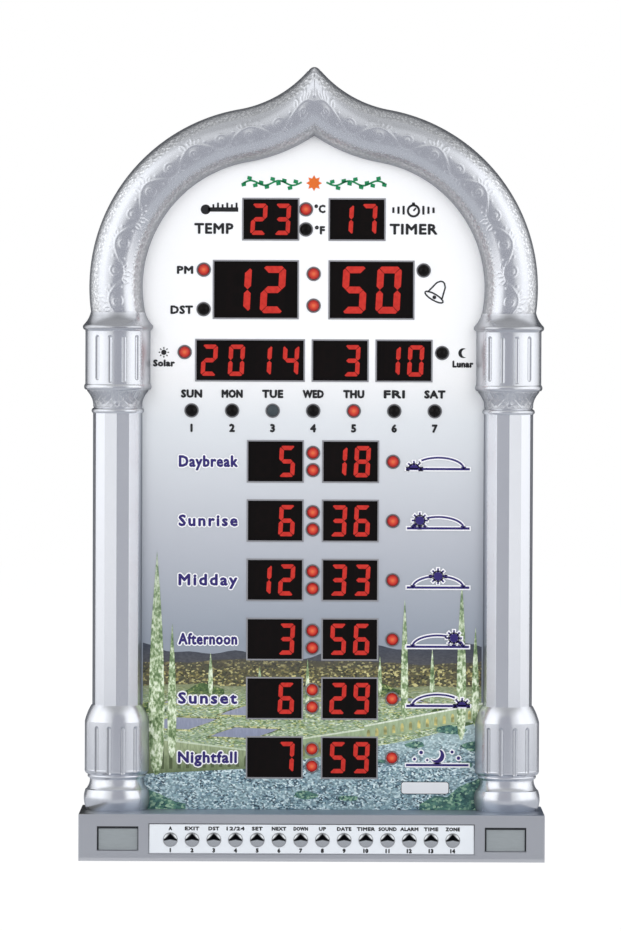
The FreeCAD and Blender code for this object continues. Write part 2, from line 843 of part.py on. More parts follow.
def make_rear_cover():
    floor_z = plinth_height + case_wall
    shell = outline_block(case_inset, plinth_height, face_y, rear_y)
    shell = shell.cut(outline_block(case_inset + case_wall, floor_z, face_y - 1, rear_inner))
    shell = shell.cut(outline_block(case_inset + lip_width, plinth_height - 5, face_y - 1, panel_back))
    added = [rod_y(x, z, post_r, panel_back, rear_y) for x, z in case_screw_places()]
    added += [rod_y(x, z, board_post_r, board_back, rear_inner + 1) for x, z in board_post_places()]
    added += [rod_z(x, y, plinth_boss_r, plinth_height, floor_z + short_screw_length)
              for x, y in tie_screw_places()]
    for x, z in speaker_screw_places():
        added.append(rod_y(x, z, board_post_r, speaker_seat, rear_inner + 1))
    ring = rod_y(speaker_x, speaker_z, speaker_r, speaker_seat, rear_inner + 1)
    added.append(ring.cut(rod_y(speaker_x, speaker_z, speaker_r - speaker_ring, speaker_seat - 1, rear_y)))
    outer_length = bay_length + 2 * bay_wall
    outer_height = bay_height + 2 * bay_wall
    added.append(centred_block(bay_x, bay_z, outer_length, outer_height,
                               bay_floor - bay_wall, rear_inner + 1))
    collar_length = bay_length + 2 * (bay_wall + bay_collar)
    collar_height = bay_height + 2 * (bay_wall + bay_collar)
    added.append(centred_block(bay_x, bay_z, collar_length, collar_height,
                               rear_y - bay_collar_depth, rear_inner + 1))
    shell = fused([shell] + added)
    cuts = []
    for x, z in case_screw_places():
        cuts.append(rod_y(x, z, clear_r, panel_back - 1, rear_y + 1))
        cuts.append(rod_y(x, z, head_r + head_gap, case_screw_seat, rear_y + 1))
    for x, z in board_post_places():
        cuts.append(rod_y(x, z, pilot_r, board_back - 1, board_back + short_screw_length))
    for x, y in tie_screw_places():
        cuts.append(rod_z(x, y, pilot_r, plinth_height - 1, plinth_height + short_screw_length))
    for x, z in speaker_screw_places():
        cuts.append(rod_y(x, z, pilot_r, speaker_seat - 1, speaker_seat + short_screw_length - 1))
    cuts.append(ribbon_slot(plinth_height - 1, floor_z + 1))
    cuts += speaker_holes()
    cuts.append(centred_block(bay_x, bay_z, bay_length, bay_height, bay_floor, rear_y + 1))
    cuts.append(centred_block(bay_x + door_travel / 2, bay_z, door_length + door_travel + 2 * door_gap,
                              door_height + 2 * door_gap, ledge_top, rear_y + 1))
    hook_half = hook_width / 2 + door_gap
    for x, side in hook_places():
        low, high = between(side, bay_height / 2 - 1, bay_height / 2 + hook_reach)
        cuts.append(block(x - hook_half, x + hook_half + door_travel,
                          hook_top - hook_thickness - door_gap, hook_top + door_gap, low, high))
        cuts.append(block(x - hook_half + door_travel, x + hook_half + door_travel,
                          hook_top, rear_y, low, high))
    for side in (-1, 1):
        cuts.append(centred_block(side * hanger_x, hanger_z, hanger_width + 2 * panel_gap,
                                  hanger_height + 2 * panel_gap, rear_y - hanger_thickness, rear_y + 1))
        cuts.append(centred_block(side * hanger_x, hanger_z, hanger_width - 2 * hanger_ledge,
                                  hanger_height - 2 * hanger_ledge, rear_inner - 1, rear_y + 1))
    for i in range(vent_count):
        cuts.append(centred_block(0, vent_z + i * vent_pitch, vent_length, vent_width,
                                  rear_inner - 1, rear_y + 1))
    save("rear_cover", [cut_all(shell, cuts)])


def make_hangers():
    low = hanger_z - keyhole_rise / 2
    plates = []
    for side in (-1, 1):
        x = side * hanger_x
        y0 = rear_y - hanger_thickness
        plate = centred_block(x, hanger_z, hanger_width, hanger_height, y0, rear_y)
        entry = rod_y(x, low, keyhole_r, y0 - 1, rear_y + 1)
        slot_end = rod_y(x, low + keyhole_rise, keyhole_slot_r, y0 - 1, rear_y + 1)
        slot = block(x - keyhole_slot_r, x + keyhole_slot_r, y0 - 1, rear_y + 1, low, low + keyhole_rise)
        plates.append(cut_all(plate, [entry, slot_end, slot]))
    save("hanger_plates", plates)


def make_battery_door():
    """Cover that slides off its ledges: four hooks reach under the ledge until it has slid along X."""
    plate = centred_block(bay_x, bay_z, door_length, door_height, door_inner, rear_y)
    added = []
    for x, side in hook_places():
        x0, x1 = x - hook_width / 2, x + hook_width / 2
        stem_out = bay_height / 2 - door_gap
        low, high = between(side, stem_out - hook_stem, stem_out)
        added.append(block(x0, x1, hook_top - hook_thickness, door_inner + BITE, low, high))
        low, high = between(side, stem_out - hook_stem, stem_out + hook_reach)
        added.append(block(x0, x1, hook_top - hook_thickness, hook_top, low, high))
    ribs = []
    for i in range(grip_count):
        x = bay_x - door_length / 2 + 2 * grip_pitch + i * grip_pitch
        ribs.append(rod_z(x, rear_y, grip_r, bay_z - grip_width / 2, bay_z + grip_width / 2))
    save("battery_door", [cut_all(fused([plate] + added), ribs)])


def make_cells():
    y = bay_floor + cell_gap + cell_r
    cells, contacts = [], []
    for row, heading in ((-1, 1), (1, -1)):
        z = bay_z + row * (cell_r + cell_gap)
        start = bay_x - heading * cell_room / 2
        near, far = sorted((start, start + heading * cell_length))
        can = rod_x(y, z, cell_r, near, far)
        nub_start = far if heading > 0 else near - cell_nub
        nub = rod_x(y, z, cell_nub_r, nub_start, nub_start + cell_nub)
        cells.append(fused([can, nub]))
        for side in (-1, 1):
            inner = bay_x + side * (bay_length / 2)
            x0, x1 = sorted((inner, inner - side * contact_thickness))
            strap = block(x0, x1, y - contact_half_width, y + contact_back_reach,
                          z - contact_half_width, z + contact_half_width)
            bump_end = inner - side * (bay_end_room - contact_play)
            b0, b1 = sorted((inner - side * contact_thickness / 2, bump_end))
            contacts.append(fused([strap, rod_x(y, z, cell_nub_r, b0, b1)]))
    save("battery_cells", cells)
    save("battery_contacts", contacts)


# ---- Face ------------------------------------------------------------------
def make_face_panel():
    inset = case_inset + lip_width + panel_gap
    panel = outline_block(inset, plinth_height + panel_gap / 2, face_y, panel_back)
    cuts = []
    for windows in display_places().values():
        for x, z, width, height, *_ in windows:
            cuts.append(centred_block(x, z, width + 2 * window_gap, height + 2 * window_gap,
                                      face_y - 1, panel_back + 1))
    lit, dark = lamp_places()
    cuts += [rod_y(x, z, lamp_r + lamp_gap, face_y - 1, panel_back + 1) for x, z in lit + dark]
    cuts += [rod_y(x, z, clear_r, face_y - 1, panel_back + 1) for x, z in case_screw_places()]
    save("face_panel", [cut_all(panel, cuts)])


SEGMENTS = {
    "0": "abcdef", "1": "bc", "2": "abged", "3": "abgcd", "4": "fgbc", "5": "afgcd",
    "6": "afgedc", "7": "abc", "8": "abcdefg", "9": "abcdfg", " ": "",
}


def segment_corners(width, height, stroke):
    """Outlines of the seven bars of a digit, as lists of (x, z) about its middle."""
    w, h, g = width / 2, height / 2, segment_gap / 2
    s = stroke / 2
    cut = segment_corner * stroke
    half = cut / 2
    top = [(-w + cut, h), (w - cut, h), (w - half - g, h - half + g), (w - stroke - g, h - stroke),
           (-w + stroke + g, h - stroke), (-w + half + g, h - half + g)]
    side = [(w, h - cut), (w, g + s), (w - s, g), (w - stroke, s + g), (w - stroke, h - stroke - g),
            (w - half + g, h - half - g)]
    middle = [(-w + s + g, 0), (-w + stroke + g, s), (w - stroke - g, s), (w - s - g, 0),
              (w - stroke - g, -s), (-w + stroke + g, -s)]
    return {
        "a": top,
        "b": side,
        "c": [(x, -z) for x, z in side],
        "d": [(x, -z) for x, z in top],
        "e": [(-x, -z) for x, z in side],
        "f": [(-x, z) for x, z in side],
        "g": middle,
    }


def digit_bars(x, z, digit, sizes):
    """Lit and dark bars of one leaning digit, sunk flush in the display's front."""
    lit, dark = [], []
    for letter, corners in segment_corners(*sizes).items():
        leaning = [(x + cx + digit_lean * cz, z + cz) for cx, cz in corners]
        bar = polygon_xz(leaning, module_front).extrude(V(0, segment_depth, 0))
        (lit if letter in SEGMENTS[digit] else dark).append(bar)
    return lit, dark


def make_displays():
    all_lit, all_dark = [], []
    for name, windows in display_places().items():
        housings = []
        for x, z, width, height, pitch, sizes, reading in windows:
            housing = centred_block(x, z, width, height, module_front, board_front)
            bars = []
            first = x - pitch * (len(reading) - 1) / 2
            for place, digit in enumerate(reading):
                lit, dark = digit_bars(first + place * pitch, z, digit, sizes)
                bars += lit + dark
                all_lit += lit
                all_dark += dark
            housings.append(cut_all(housing, bars))
        save(name, housings)
    save("segments_lit", all_lit)
    save("segments_dark", all_dark)


def make_lamps():
    """Round lamps with domed tips that stand a little proud of the face."""
    def lamp(x, z):
        middle_y = face_y - lamp_proud + lamp_r
        stub = rod_y(x, z, lamp_r, middle_y, board_front)
        return fused([stub, Part.makeSphere(lamp_r, V(x, middle_y, z))])
    lit, dark = lamp_places()
    save("lamps_lit", [lamp(x, z) for x, z in lit])
    save("lamps_dark", [lamp(x, z) for x, z in dark])


# ---- Electronics -----------------------------------------------------------
def make_main_board():
    board = block(-board_half_width, board_half_width, board_front, board_back, board_bottom, board_top)
    holes = [rod_y(x, z, clear_r, board_front - 1, board_back + 1) for x, z in board_post_places()]
    save("main_board", [cut_all(board, holes)])


def make_components():
    """Driver chips, the controller, the regulator and the smoothing capacitors, on the board's back."""
    middle = (board_bottom + board_top) / 2
    chips = [
        (side * driver_x, driver_rise + row * driver_pitch, *driver_chip)
        for side in (-1, 1)
        for row in range(driver_rows)
    ]
    parts = [
        centred_block(x, middle + rise, width, height, board_back, board_back + depth)
        for x, rise, width, height, depth in chips + block_parts
    ]
    parts += [rod_y(x, middle + rise, r, board_back, board_back + depth) for x, rise, r, depth in round_parts]
    save("board_components", parts)


def make_ribbon():
    """Flat cable between the two boards, with a socket on each end."""
    top_plug = board_bottom + 1.0
    run_y = board_back + ribbon_standoff
    run_z = button_z
    half = ribbon_width / 2
    t = ribbon_thickness / 2
    plug_back = key_board_back + plug_height
    corner = V(0, run_y - ribbon_bend, run_z + ribbon_bend)

    def bend(r):
        s = r / math.sqrt(2)
        return Part.Arc(V(0, corner.y + r, corner.z), V(0, corner.y + s, corner.z - s),
                        V(0, corner.y, corner.z - r)).toShape()

    def line(y0, z0, y1, z1):
        return Part.LineSegment(V(0, y0, z0), V(0, y1, z1)).toShape()
    outer, inner = ribbon_bend + t, ribbon_bend - t
    edges = [
        line(run_y - t, top_plug, run_y + t, top_plug),
        line(run_y + t, top_plug, run_y + t, corner.z),
        bend(outer),
        line(corner.y, run_z - t, plug_back, run_z - t),
        line(plug_back, run_z - t, plug_back, run_z + t),
        line(plug_back, run_z + t, corner.y, run_z + t),
        bend(inner),
        line(run_y - t, corner.z, run_y - t, top_plug),
    ]
    band = Part.Face(Part.Wire(Part.__sortEdges__(edges))).extrude(V(ribbon_width, 0, 0))
    band.translate(V(-half, 0, 0))
    wide = half + plug_margin
    upper = block(-wide, wide, board_back, board_back + 2 * ribbon_standoff,
                  top_plug, top_plug + plug_height)
    lower = block(-wide, wide, key_board_back, plug_back, run_z - plug_height / 2, run_z + plug_height / 2)
    save("ribbon_cable", [band, upper, lower])


def make_jack():
    """Power inlet behind the plinth: a barrel socket with its centre pin."""
    depth = jack_length - plinth_wall
    body = centred_block(jack_x, jack_z, jack_side, jack_side, rear_inner - depth, rear_inner)
    nose = rod_y(jack_x, jack_z, jack_nose_r, rear_inner, rear_y)
    shell = fused([body, nose])
    bore_end = rear_y - jack_bore_depth
    shell = shell.cut(rod_y(jack_x, jack_z, jack_bore_r, bore_end, rear_y + 1))
    pin = rod_y(jack_x, jack_z, jack_pin_r, bore_end, rear_y - jack_pin_recess)
    save("power_jack", [shell, pin])


def turned_y(points, x, z):
    """Ring turned about the line along Y through (x, z); points are (r, y)."""
    corners = [V(x + r, y, z) for r, y in points]
    face = Part.Face(Part.makePolygon(corners + corners[:1]))
    return face.revolve(V(x, 0, z), V(0, 1, 0), 360)


def make_speaker():
    """Pressed basket with four ears, its magnet, and the paper cone glued inside its rim."""
    seat = speaker_seat
    flange_front = seat - speaker_flange
    rim = speaker_r - speaker_ring - speaker_wall
    plate_front = flange_front - speaker_depth + magnet_depth
    plate_back = plate_front + speaker_wall
    throat = magnet_r + speaker_wall
    basket = turned_y([
        (speaker_r, seat), (speaker_r, flange_front), (rim + speaker_wall, flange_front),
        (throat, plate_front), (0, plate_front), (0, plate_back),
        (throat - speaker_wall, plate_back), (rim, flange_front + speaker_wall), (rim, seat),
    ], speaker_x, speaker_z)
    ears = [rod_y(x, z, speaker_ear_r, flange_front, seat) for x, z in speaker_screw_places()]
    opening = rod_y(speaker_x, speaker_z, rim, flange_front - 1, seat + 1)
    ears = [ear.cut(opening) for ear in ears]
    holes = [rod_y(x, z, clear_r, flange_front - 1, seat + 1) for x, z in speaker_screw_places()]
    save("speaker_basket", [cut_all(fused([basket] + ears), holes)])
    magnet_front = plate_front - magnet_depth
    save("speaker_magnet", [rod_y(speaker_x, speaker_z, magnet_r, magnet_front, plate_front)])
    deep = plate_back + cone_standoff
    t = cone_thickness
    edge = seat - t
    cone = turned_y([
        (rim, seat), (rim, edge), (rim - 3 * t, edge), (coil_r, deep - t), (0, deep - t), (0, deep),
        (coil_r - t, deep), (rim - 4 * t, seat),
    ], speaker_x, speaker_z)
    coil = turned_y([(coil_r, plate_back), (coil_r, deep - t), (coil_r - t, deep - t),
                     (coil_r - t, plate_back)], speaker_x, speaker_z)
    save("speaker_cone", [fused([cone, coil])])


def main():
    os.makedirs("parts", exist_ok=True)
    screws = case_screw_places()
    make_plinth()
    make_base_plate()
    make_strip()
    make_buttons()
    make_key_board()
    make_pedestals(screws)
    make_capitals(screws)
    make_shafts(screws)
    make_arch(screws)
    make_rear_cover()
    make_hangers()
    make_battery_door()
    make_cells()
    make_face_panel()
    make_displays()
    make_lamps()
    make_main_board()
    make_components()
    make_ribbon()
    make_jack()
    make_speaker()
    make_screws()


main()
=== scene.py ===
import json
import math

import bmesh
import bpy
from bpy.props import FloatProperty, FloatVectorProperty, IntProperty, PointerProperty
from mathutils import Matrix, Quaternion, Vector, kdtree


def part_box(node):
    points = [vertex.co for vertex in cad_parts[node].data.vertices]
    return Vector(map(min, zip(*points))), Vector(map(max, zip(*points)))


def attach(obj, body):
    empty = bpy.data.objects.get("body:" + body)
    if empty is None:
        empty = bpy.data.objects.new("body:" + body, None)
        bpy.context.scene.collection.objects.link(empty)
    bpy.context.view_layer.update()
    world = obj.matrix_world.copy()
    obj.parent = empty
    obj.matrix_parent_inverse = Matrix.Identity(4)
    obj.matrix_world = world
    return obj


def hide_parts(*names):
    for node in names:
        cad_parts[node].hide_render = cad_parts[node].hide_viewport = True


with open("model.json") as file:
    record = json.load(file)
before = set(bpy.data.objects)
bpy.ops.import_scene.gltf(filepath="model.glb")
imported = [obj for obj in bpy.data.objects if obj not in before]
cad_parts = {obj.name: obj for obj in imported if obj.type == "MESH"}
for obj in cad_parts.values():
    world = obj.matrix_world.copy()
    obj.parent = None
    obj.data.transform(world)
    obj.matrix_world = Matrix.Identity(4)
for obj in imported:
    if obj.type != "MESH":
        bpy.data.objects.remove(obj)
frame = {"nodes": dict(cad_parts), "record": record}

bl_info = {
    "name": "Prayer clock dressing",
    "version": (1, 0, 0),
    "blender": (4, 5, 0),
    "location": "View3D > Sidebar > Clock",
    "description": "Finishes and printed face of a prayer-time clock, built around its solid frame",
    "category": "Object",
}

MM = 0.001
CASE = "case"  # the body that all the added pieces move with
SILVER, FACE, STRIP, BADGE = "silver_molding", "face_print", "strip_white", "badge_grey"  # material slots
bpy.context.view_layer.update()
NODES = frame["nodes"]
FACE_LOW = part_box("face_panel")[0]
FACE_Y = FACE_LOW.y
ARCH_LOW, ARCH_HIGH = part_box("arch_molding")
SHAFT_LOW, SHAFT_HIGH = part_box("shaft_right")
COLUMN_X = (SHAFT_LOW.x + SHAFT_HIGH.x) / 2
STRIP_LOW, STRIP_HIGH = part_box("button_strip")
PLINTH_LOW, PLINTH_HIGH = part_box("plinth_shell")
LAYER = 0.04 * MM  # from one layer of ink to the next
FINE_LAYER = 0.0025 * MM  # from one copy of a letter to the next
TOUCHING = 0.001 * MM  # points that are closer than this count as one
WEEK_Z = 289.8 * MM  # height of the weekday lamps
CLOUD = 30 * MM  # size of the slow clouds in a finish
UNTURNED, UNSTRETCHED = (0, 0, 0), (1, 1, 1)
EIGHTH = math.pi / 4


# ---- Settings ----------------------------------------------------------------
def length(label, text, value):
    """A length property whose default is given in millimetres."""
    return FloatProperty(name=label, description=text, default=value * MM, unit="LENGTH", precision=5)


def colour(label, text, red, green, blue):
    """A colour property whose default is given as linear red, green and blue."""
    return FloatVectorProperty(name=label, description=text, subtype="COLOR", size=3, min=0.0, max=1.0,
                               default=(red, green, blue))


class ClockSettings(bpy.types.PropertyGroup):
    """Sizes of the dressing that the solid frame doesn't give, and colours of the finishes"""

    arch_outer_radius: length("Haunch radius", "Outer radius of the arch's lower arcs", 117.2)
    arch_rise: length("Haunch rise", "Height of the lower arcs' centres over the capitals", 16.3)
    counter_radius: length("Crown radius", "Outer radius of the reversed arcs at the crown", 76.8)
    counter_offset: length("Crown offset", "How far the crown's centres lie outside the haunch's", 33.8)
    tube_radius: length("Moulding radius", "Radius of the half-round arch moulding", 17.3)
    tip_radius: length("Tip radius", "Rounding of the arch's point", 4.3)
    vine_period: length("Vine period", "Length of one wave of the vine relief", 38.0)
    vine_height: length("Vine height", "Height of the vine over the moulding", 0.26)
    border_period: length("Border period", "Length of one eye of the interlaced border", 5.2)
    bead_radius: length("Bead radius", "Radius of the beads in the border's eyes", 0.45)
    leaf_height: length("Leaf height", "Height of the leaves in the capitals' hollows", 0.38)
    lamp_ring: length("Lamp ring", "Width of the printed ring around each lamp", 0.8)
    border_inside: length("Border inside", "Width of a display's border inside its opening", 0.48)
    border_outside: length("Border outside", "Width of a display's border on the face", 0.45)
    row_text: length("Row text", "Height of the capitals in the row names", 7.6)
    camera_distance: length("Camera distance", "From the camera to the printed face", 4100.0)
    camera_height: length("Camera height", "Height of the camera over the floor", 382.2)
    aim_height: length("Aim height", "Height of the point that the camera looks at", 254.3)
    aim_x: length("Aim offset", "How far left or right the camera stands and looks", -1.6)
    camera_lens: FloatProperty(name="Lens", description="Focal length in millimetres", default=244.4)
    camera_roll: FloatProperty(name="Camera roll", description="Turn about the line of sight",
                               default=math.radians(0.22), subtype="ANGLE")
    seed: IntProperty(name="Seed", description="Seed of the beads' and poplars' sizes", default=7)
    silver: colour("Silver", "Lacquer of the frame mouldings", 0.91, 0.92, 0.96)
    # Silver shade is painted shade in the hollows of a relief; the beads are tinted with it too.
    silver_shade: colour("Silver shade", "Lacquer in the hollows of a relief", 0.88, 0.89, 0.93)
    case: colour("Case", "Lacquer of the plinth and the case", 0.55, 0.56, 0.595)
    strip: colour("Strip", "Label strip behind the buttons", 0.79, 0.82, 0.86)
    badge: colour("Badge", "Sunk plates at the plinth's ends", 0.36, 0.39, 0.40)
    face_top: colour("Face top", "Printed face at the top", 0.97, 0.97, 0.98)
    face_middle: colour("Face middle", "Printed face at the days of the week", 0.73, 0.755, 0.785)
    face_low: colour("Face low", "Printed face half way down the rows", 0.49, 0.51, 0.56)
    face_foot: colour("Face foot", "Printed face above the landscape", 0.285, 0.32, 0.38)
    black_ink: colour("Black ink", "Small labels", 0.012, 0.012, 0.014)
    navy_ink: colour("Navy ink", "Row names", 0.024, 0.012, 0.15)
    halo_ink: colour("Halo", "Pale edge around the row names", 0.90, 0.90, 0.93)
    green_ink: colour("Green ink", "Ornament at the top", 0.0, 0.24, 0.08)
    orange_ink: colour("Orange ink", "Rosette at the top", 0.83, 0.16, 0.01)
    border_grey: colour("Border grey", "Borders of the displays and lamps", 0.26, 0.26, 0.28)
    lit_red: colour("Lit red", "Glowing bars and lamps", 0.62, 0.028, 0.020)


# ---- Shader building ---------------------------------------------------------
def rgba(value):
    return (*value, 1.0)


def toned(value, factor):
    return tuple(min(1.0, channel * factor) for channel in value)


def feed(tree, socket, value):
    """Links a socket to another one, or sets its value."""
    if isinstance(value, bpy.types.NodeSocket):
        tree.links.new(value, socket)
    else:
        socket.default_value = value


def add_node(tree, kind, inputs=None, **settings):
    node = tree.nodes.new(kind)
    for key, value in settings.items():
        setattr(node, key, value)
    for key, value in (inputs or {}).items():
        feed(tree, node.inputs[key], value)
    return node


class Shading:
    """A shader node tree, with short calls for the nodes that the finishes share."""

    def __init__(self, tree, coordinates):
        self.tree = tree
        self.place = self.add("TexCoord").outputs[coordinates]

    def add(self, kind, inputs=None, **settings):
        return add_node(self.tree, "ShaderNode" + kind, inputs, **settings)

    def stretched(self, x, y, z):
        """Object coordinates multiplied per axis."""
        return self.add("Mapping", {"Vector": self.place, "Scale": (x, y, z)}).outputs["Vector"]

    def noise(self, size, detail=2.0, vector=None):
        """Soft noise whose features are about size across."""
        inputs = {"Vector": vector or self.place, "Scale": 1.0 / size, "Detail": detail}
        return self.add("TexNoise", inputs).outputs["Fac"]

    def cells(self, size, vector=None, output="Distance", feature="F1"):
        inputs = {"Vector": vector or self.place, "Scale": 1.0 / size}
        return self.add("TexVoronoi", inputs, feature=feature).outputs[output]

    def mark(self, name):
        """A value that the mesh carries at its points."""
        return self.add("Attribute", attribute_name=name).outputs["Fac"]

    def spread(self, value, low, high, start=0.35, end=0.65):
        """A value between start and end, brought to between low and high."""
        inputs = {"Value": value, "From Min": start, "From Max": end, "To Min": low, "To Max": high}
        return self.add("MapRange", inputs).outputs["Result"]

    def share(self, value, start, end):
        """0 where a value is at start, 1 where it is at end."""
        return self.spread(value, 0.0, 1.0, start, end)

    def height(self, low, high):
        """0 at the height low and 1 at high."""
        return self.share(self.axis("Z"), low, high)

    def calc(self, kind, first, second=0.0):
        return self.add("Math", {0: first, 1: second}, operation=kind).outputs["Value"]

    def plus(self, first, second):
        return self.calc("ADD", first, second)

    def minus(self, first, second):
        return self.calc("SUBTRACT", first, second)

    def times(self, first, second):
        return self.calc("MULTIPLY", first, second)

    def blend(self, factor, first, second):
        """The first colour where factor is 0, the second where it is 1."""
        node = self.add("Mix", data_type="RGBA")
        feed(self.tree, node.inputs[0], factor)
        for socket, value in ((node.inputs[6], first), (node.inputs[7], second)):
            feed(self.tree, socket, value if isinstance(value, bpy.types.NodeSocket) else rgba(value))
        return node.outputs[2]

    def ramp(self, value, stops, kind="LINEAR"):
        """Colours, or grey tones, at places from 0 to 1 along a value."""
        node = self.add("ValToRGB", {"Fac": value})
        node.color_ramp.interpolation = kind
        elements = node.color_ramp.elements
        while len(elements) < len(stops):
            elements.new(1.0)
        for element, (position, tint) in zip(elements, stops):
            element.position = position
            element.color = rgba(tint if isinstance(tint, tuple) else (tint,) * 3)
        return node.outputs["Color"]

    def axis(self, name):
        return self.add("SeparateXYZ", {"Vector": self.place}).outputs[name]


class Finish(Shading):
    """A material whose shader is set up from an object's own coordinates."""

    def __init__(self, name, **constants):
        self.material = bpy.data.materials.new(name)
        self.material.use_nodes = True
        super().__init__(self.material.node_tree, "Object")
        self.shader = self.tree.nodes["Principled BSDF"]
        for socket, value in constants.items():
            title = socket.replace("_", " ").title().replace("Ior", "IOR")
            self.shader.inputs[title].default_value = value

    def set(self, socket, value):
        feed(self.tree, self.shader.inputs[socket], value)

    def base(self, value):
        self.set("Base Color", value)

    def gloss(self, value, low, high):
        """Roughness from low to high along a value."""
        self.set("Roughness", self.spread(value, low, high))

    def bump(self, value, depth):
        """A bump whose full height is depth."""
        self.set("Normal", self.add("Bump", {"Height": value, "Distance": depth}).outputs["Normal"])

    def surface(self, shader):
        feed(self.tree, self.tree.nodes["Material Output"].inputs["Surface"], shader)


# ---- Finishes ----------------------------------------------------------------
def plain_finish(name, tint, roughness, grain, depth, variation=0.06, **constants):
    """One tint with slow clouds, fine grain and uneven gloss; grain and bump depth in millimetres."""
    made = Finish(name, **constants)
    speck = made.noise(grain * MM, 3.0)
    made.base(made.blend(made.noise(CLOUD), toned(tint, 1 - variation), toned(tint, 1 + variation)))
    made.gloss(speck, roughness - 0.04, roughness + 0.05)
    made.bump(speck, depth * MM)
    return made.material


def ink(name, tint):
    """Printed ink: slightly uneven in tone and gloss."""
    return plain_finish(name, tint, 0.45, 0.4, 0.002, 0.08)


def height_tones(made, stops):
    """Grey tones at heights in millimetres."""
    top = 400
    return made.ramp(made.calc("DIVIDE", made.axis("Z"), top * MM), [(z / top, tone) for z, tone in stops])


def column_tone(made):
    """Painted shade on the columns: darker in the flutes, on the sides of the leaf bands and on inner sides,
    with darker drums and flares; returns it with the inner-side mask.
    """
    across = made.axis("X")
    aside = made.minus(across, made.times(made.calc("SIGN", across), COLUMN_X))
    ahead = made.minus(FACE_Y, made.axis("Y"))
    radius = made.calc("SQRT", made.plus(made.times(aside, aside), made.times(ahead, ahead)))
    fluted = height_tones(made, ((53.9, 0), (54.1, 1), (86.2, 1), (86.4, 0), (306.9, 0), (307.1, 1),
                                 (339.4, 1), (339.6, 0)))
    hollow = made.times(fluted, made.spread(radius, 1.0, 0.0, 20.3 * MM, 20.75 * MM))
    flute_step = math.radians(25)
    place = made.calc("FRACT", made.calc("DIVIDE", made.calc("ARCTAN2", aside, ahead), flute_step))
    # Painted shade in the flutes: darker on one flank of each groove, lighter towards the other.
    groove_shade = made.ramp(place, ((0.30, 0.80), (0.34, 0.50), (0.43, 0.72), (0.52, 0.96), (0.7, 1.0)))
    flute = made.minus(1.0, made.times(hollow, made.minus(1.0, groove_shade)))
    # Darker at the listed heights: painted shade on the leaf bands, and darker drums and flares.
    zone = height_tones(made, ((51, 1.0), (55, 0.98), (85, 0.96), (88, 1.0), (289, 1.0), (292, 0.92),
                               (302, 0.92), (304, 0.97), (338, 1.0), (341, 0.93), (344, 0.70), (352, 0.64),
                               (353.2, 0.8), (354, 1.0)))
    leafy = height_tones(made, ((288.5, 0), (291, 1), (303, 1), (305, 0)))
    # Painted shade towards the sides of the leaf bands, where they turn away.
    edge = made.calc("DIVIDE", aside, radius)
    leaf_shade = made.times(leafy, made.times(made.times(edge, edge), 0.5))
    # Painted shade on the inner sides next to the face, and on the arch's inside.
    inner = made.times(made.spread(made.calc("ABSOLUTE", across), 1.0, 0.0, 106.5 * MM, 111.5 * MM),
                       made.spread(made.axis("Z"), 1.0, 0.0, 353.2 * MM, 355 * MM))
    inner = made.calc("MAXIMUM", inner, made.mark("inside"))
    shade = made.minus(made.minus(1.0, leaf_shade), made.times(inner, 0.42))
    return made.times(zone, made.times(flute, shade)), inner


def silver_finish(name, tint, grain, depth, roughness):
    """Satin silver that turns duller towards the seam with the case, where painted shade darkens it, and
    that carries the columns' painted shade.
    """
    made = Finish(name, metallic=0.95)
    speck = made.noise(grain * MM, 3.0)
    # Painted shade where the moulding meets the case; the same mask makes it rougher there.
    dull_from, dull_to = FACE_Y - 9.5 * MM, FACE_Y - 0.6 * MM
    seam = made.calc("POWER", made.share(made.axis("Y"), dull_from, dull_to), 1.3)
    tone, inner = column_tone(made)
    # The columns' painted shade darkens the lacquer towards near black, the seam's painted shade towards
    # dark grey.
    lacquer = made.blend(tone, (0.02, 0.022, 0.028), tint(made, speck))
    made.base(made.blend(seam, lacquer, (0.24, 0.255, 0.29)))
    satin = made.spread(speck, roughness - 0.04, roughness + 0.04)
    made.set("Roughness", made.plus(satin, made.times(made.calc("MAXIMUM", seam, inner), 0.3)))
    made.bump(speck, depth * MM)
    return made.material


def silver_lacquer(clock):
    """Satin silver on the mouldings."""
    def tint(made, speck):
        return made.blend(made.noise(CLOUD), toned(clock.silver, 0.98), toned(clock.silver, 1.02))
    return silver_finish("silver_lacquer", tint, 0.5, 0.003, 0.23)


def bead_lacquer(clock):
    """Duller silver on the small beads."""
    def tint(made, speck):
        return made.blend(speck, toned(clock.silver_shade, 0.86), toned(clock.silver_shade, 0.96))
    return silver_finish("bead_lacquer", tint, 0.3, 0.002, 0.48)


def relief_lacquer(clock):
    """Satin silver with painted shade in the hollows of a relief and painted light on its ridges, and with
    stippled borders.
    """
    def tint(made, speck):
        # Painted shade in the hollows and painted light on the ridges, following the carving's height.
        relief_shading = made.blend(made.mark("relief"), clock.silver_shade, toned(clock.silver, 1.05))
        border = made.mark("border")
        stipple = made.share(made.cells(1.7 * MM), 0.30, 0.60)
        raised = made.blend(border, relief_shading, toned(clock.silver, 1.10))
        punched = made.blend(made.times(border, stipple), raised, toned(clock.silver_shade, 0.60))
        return made.blend(made.spread(speck, 0.0, 0.16), punched, toned(clock.silver_shade, 0.88))
    return silver_finish("relief_lacquer", tint, 0.45, 0.007, 0.24)


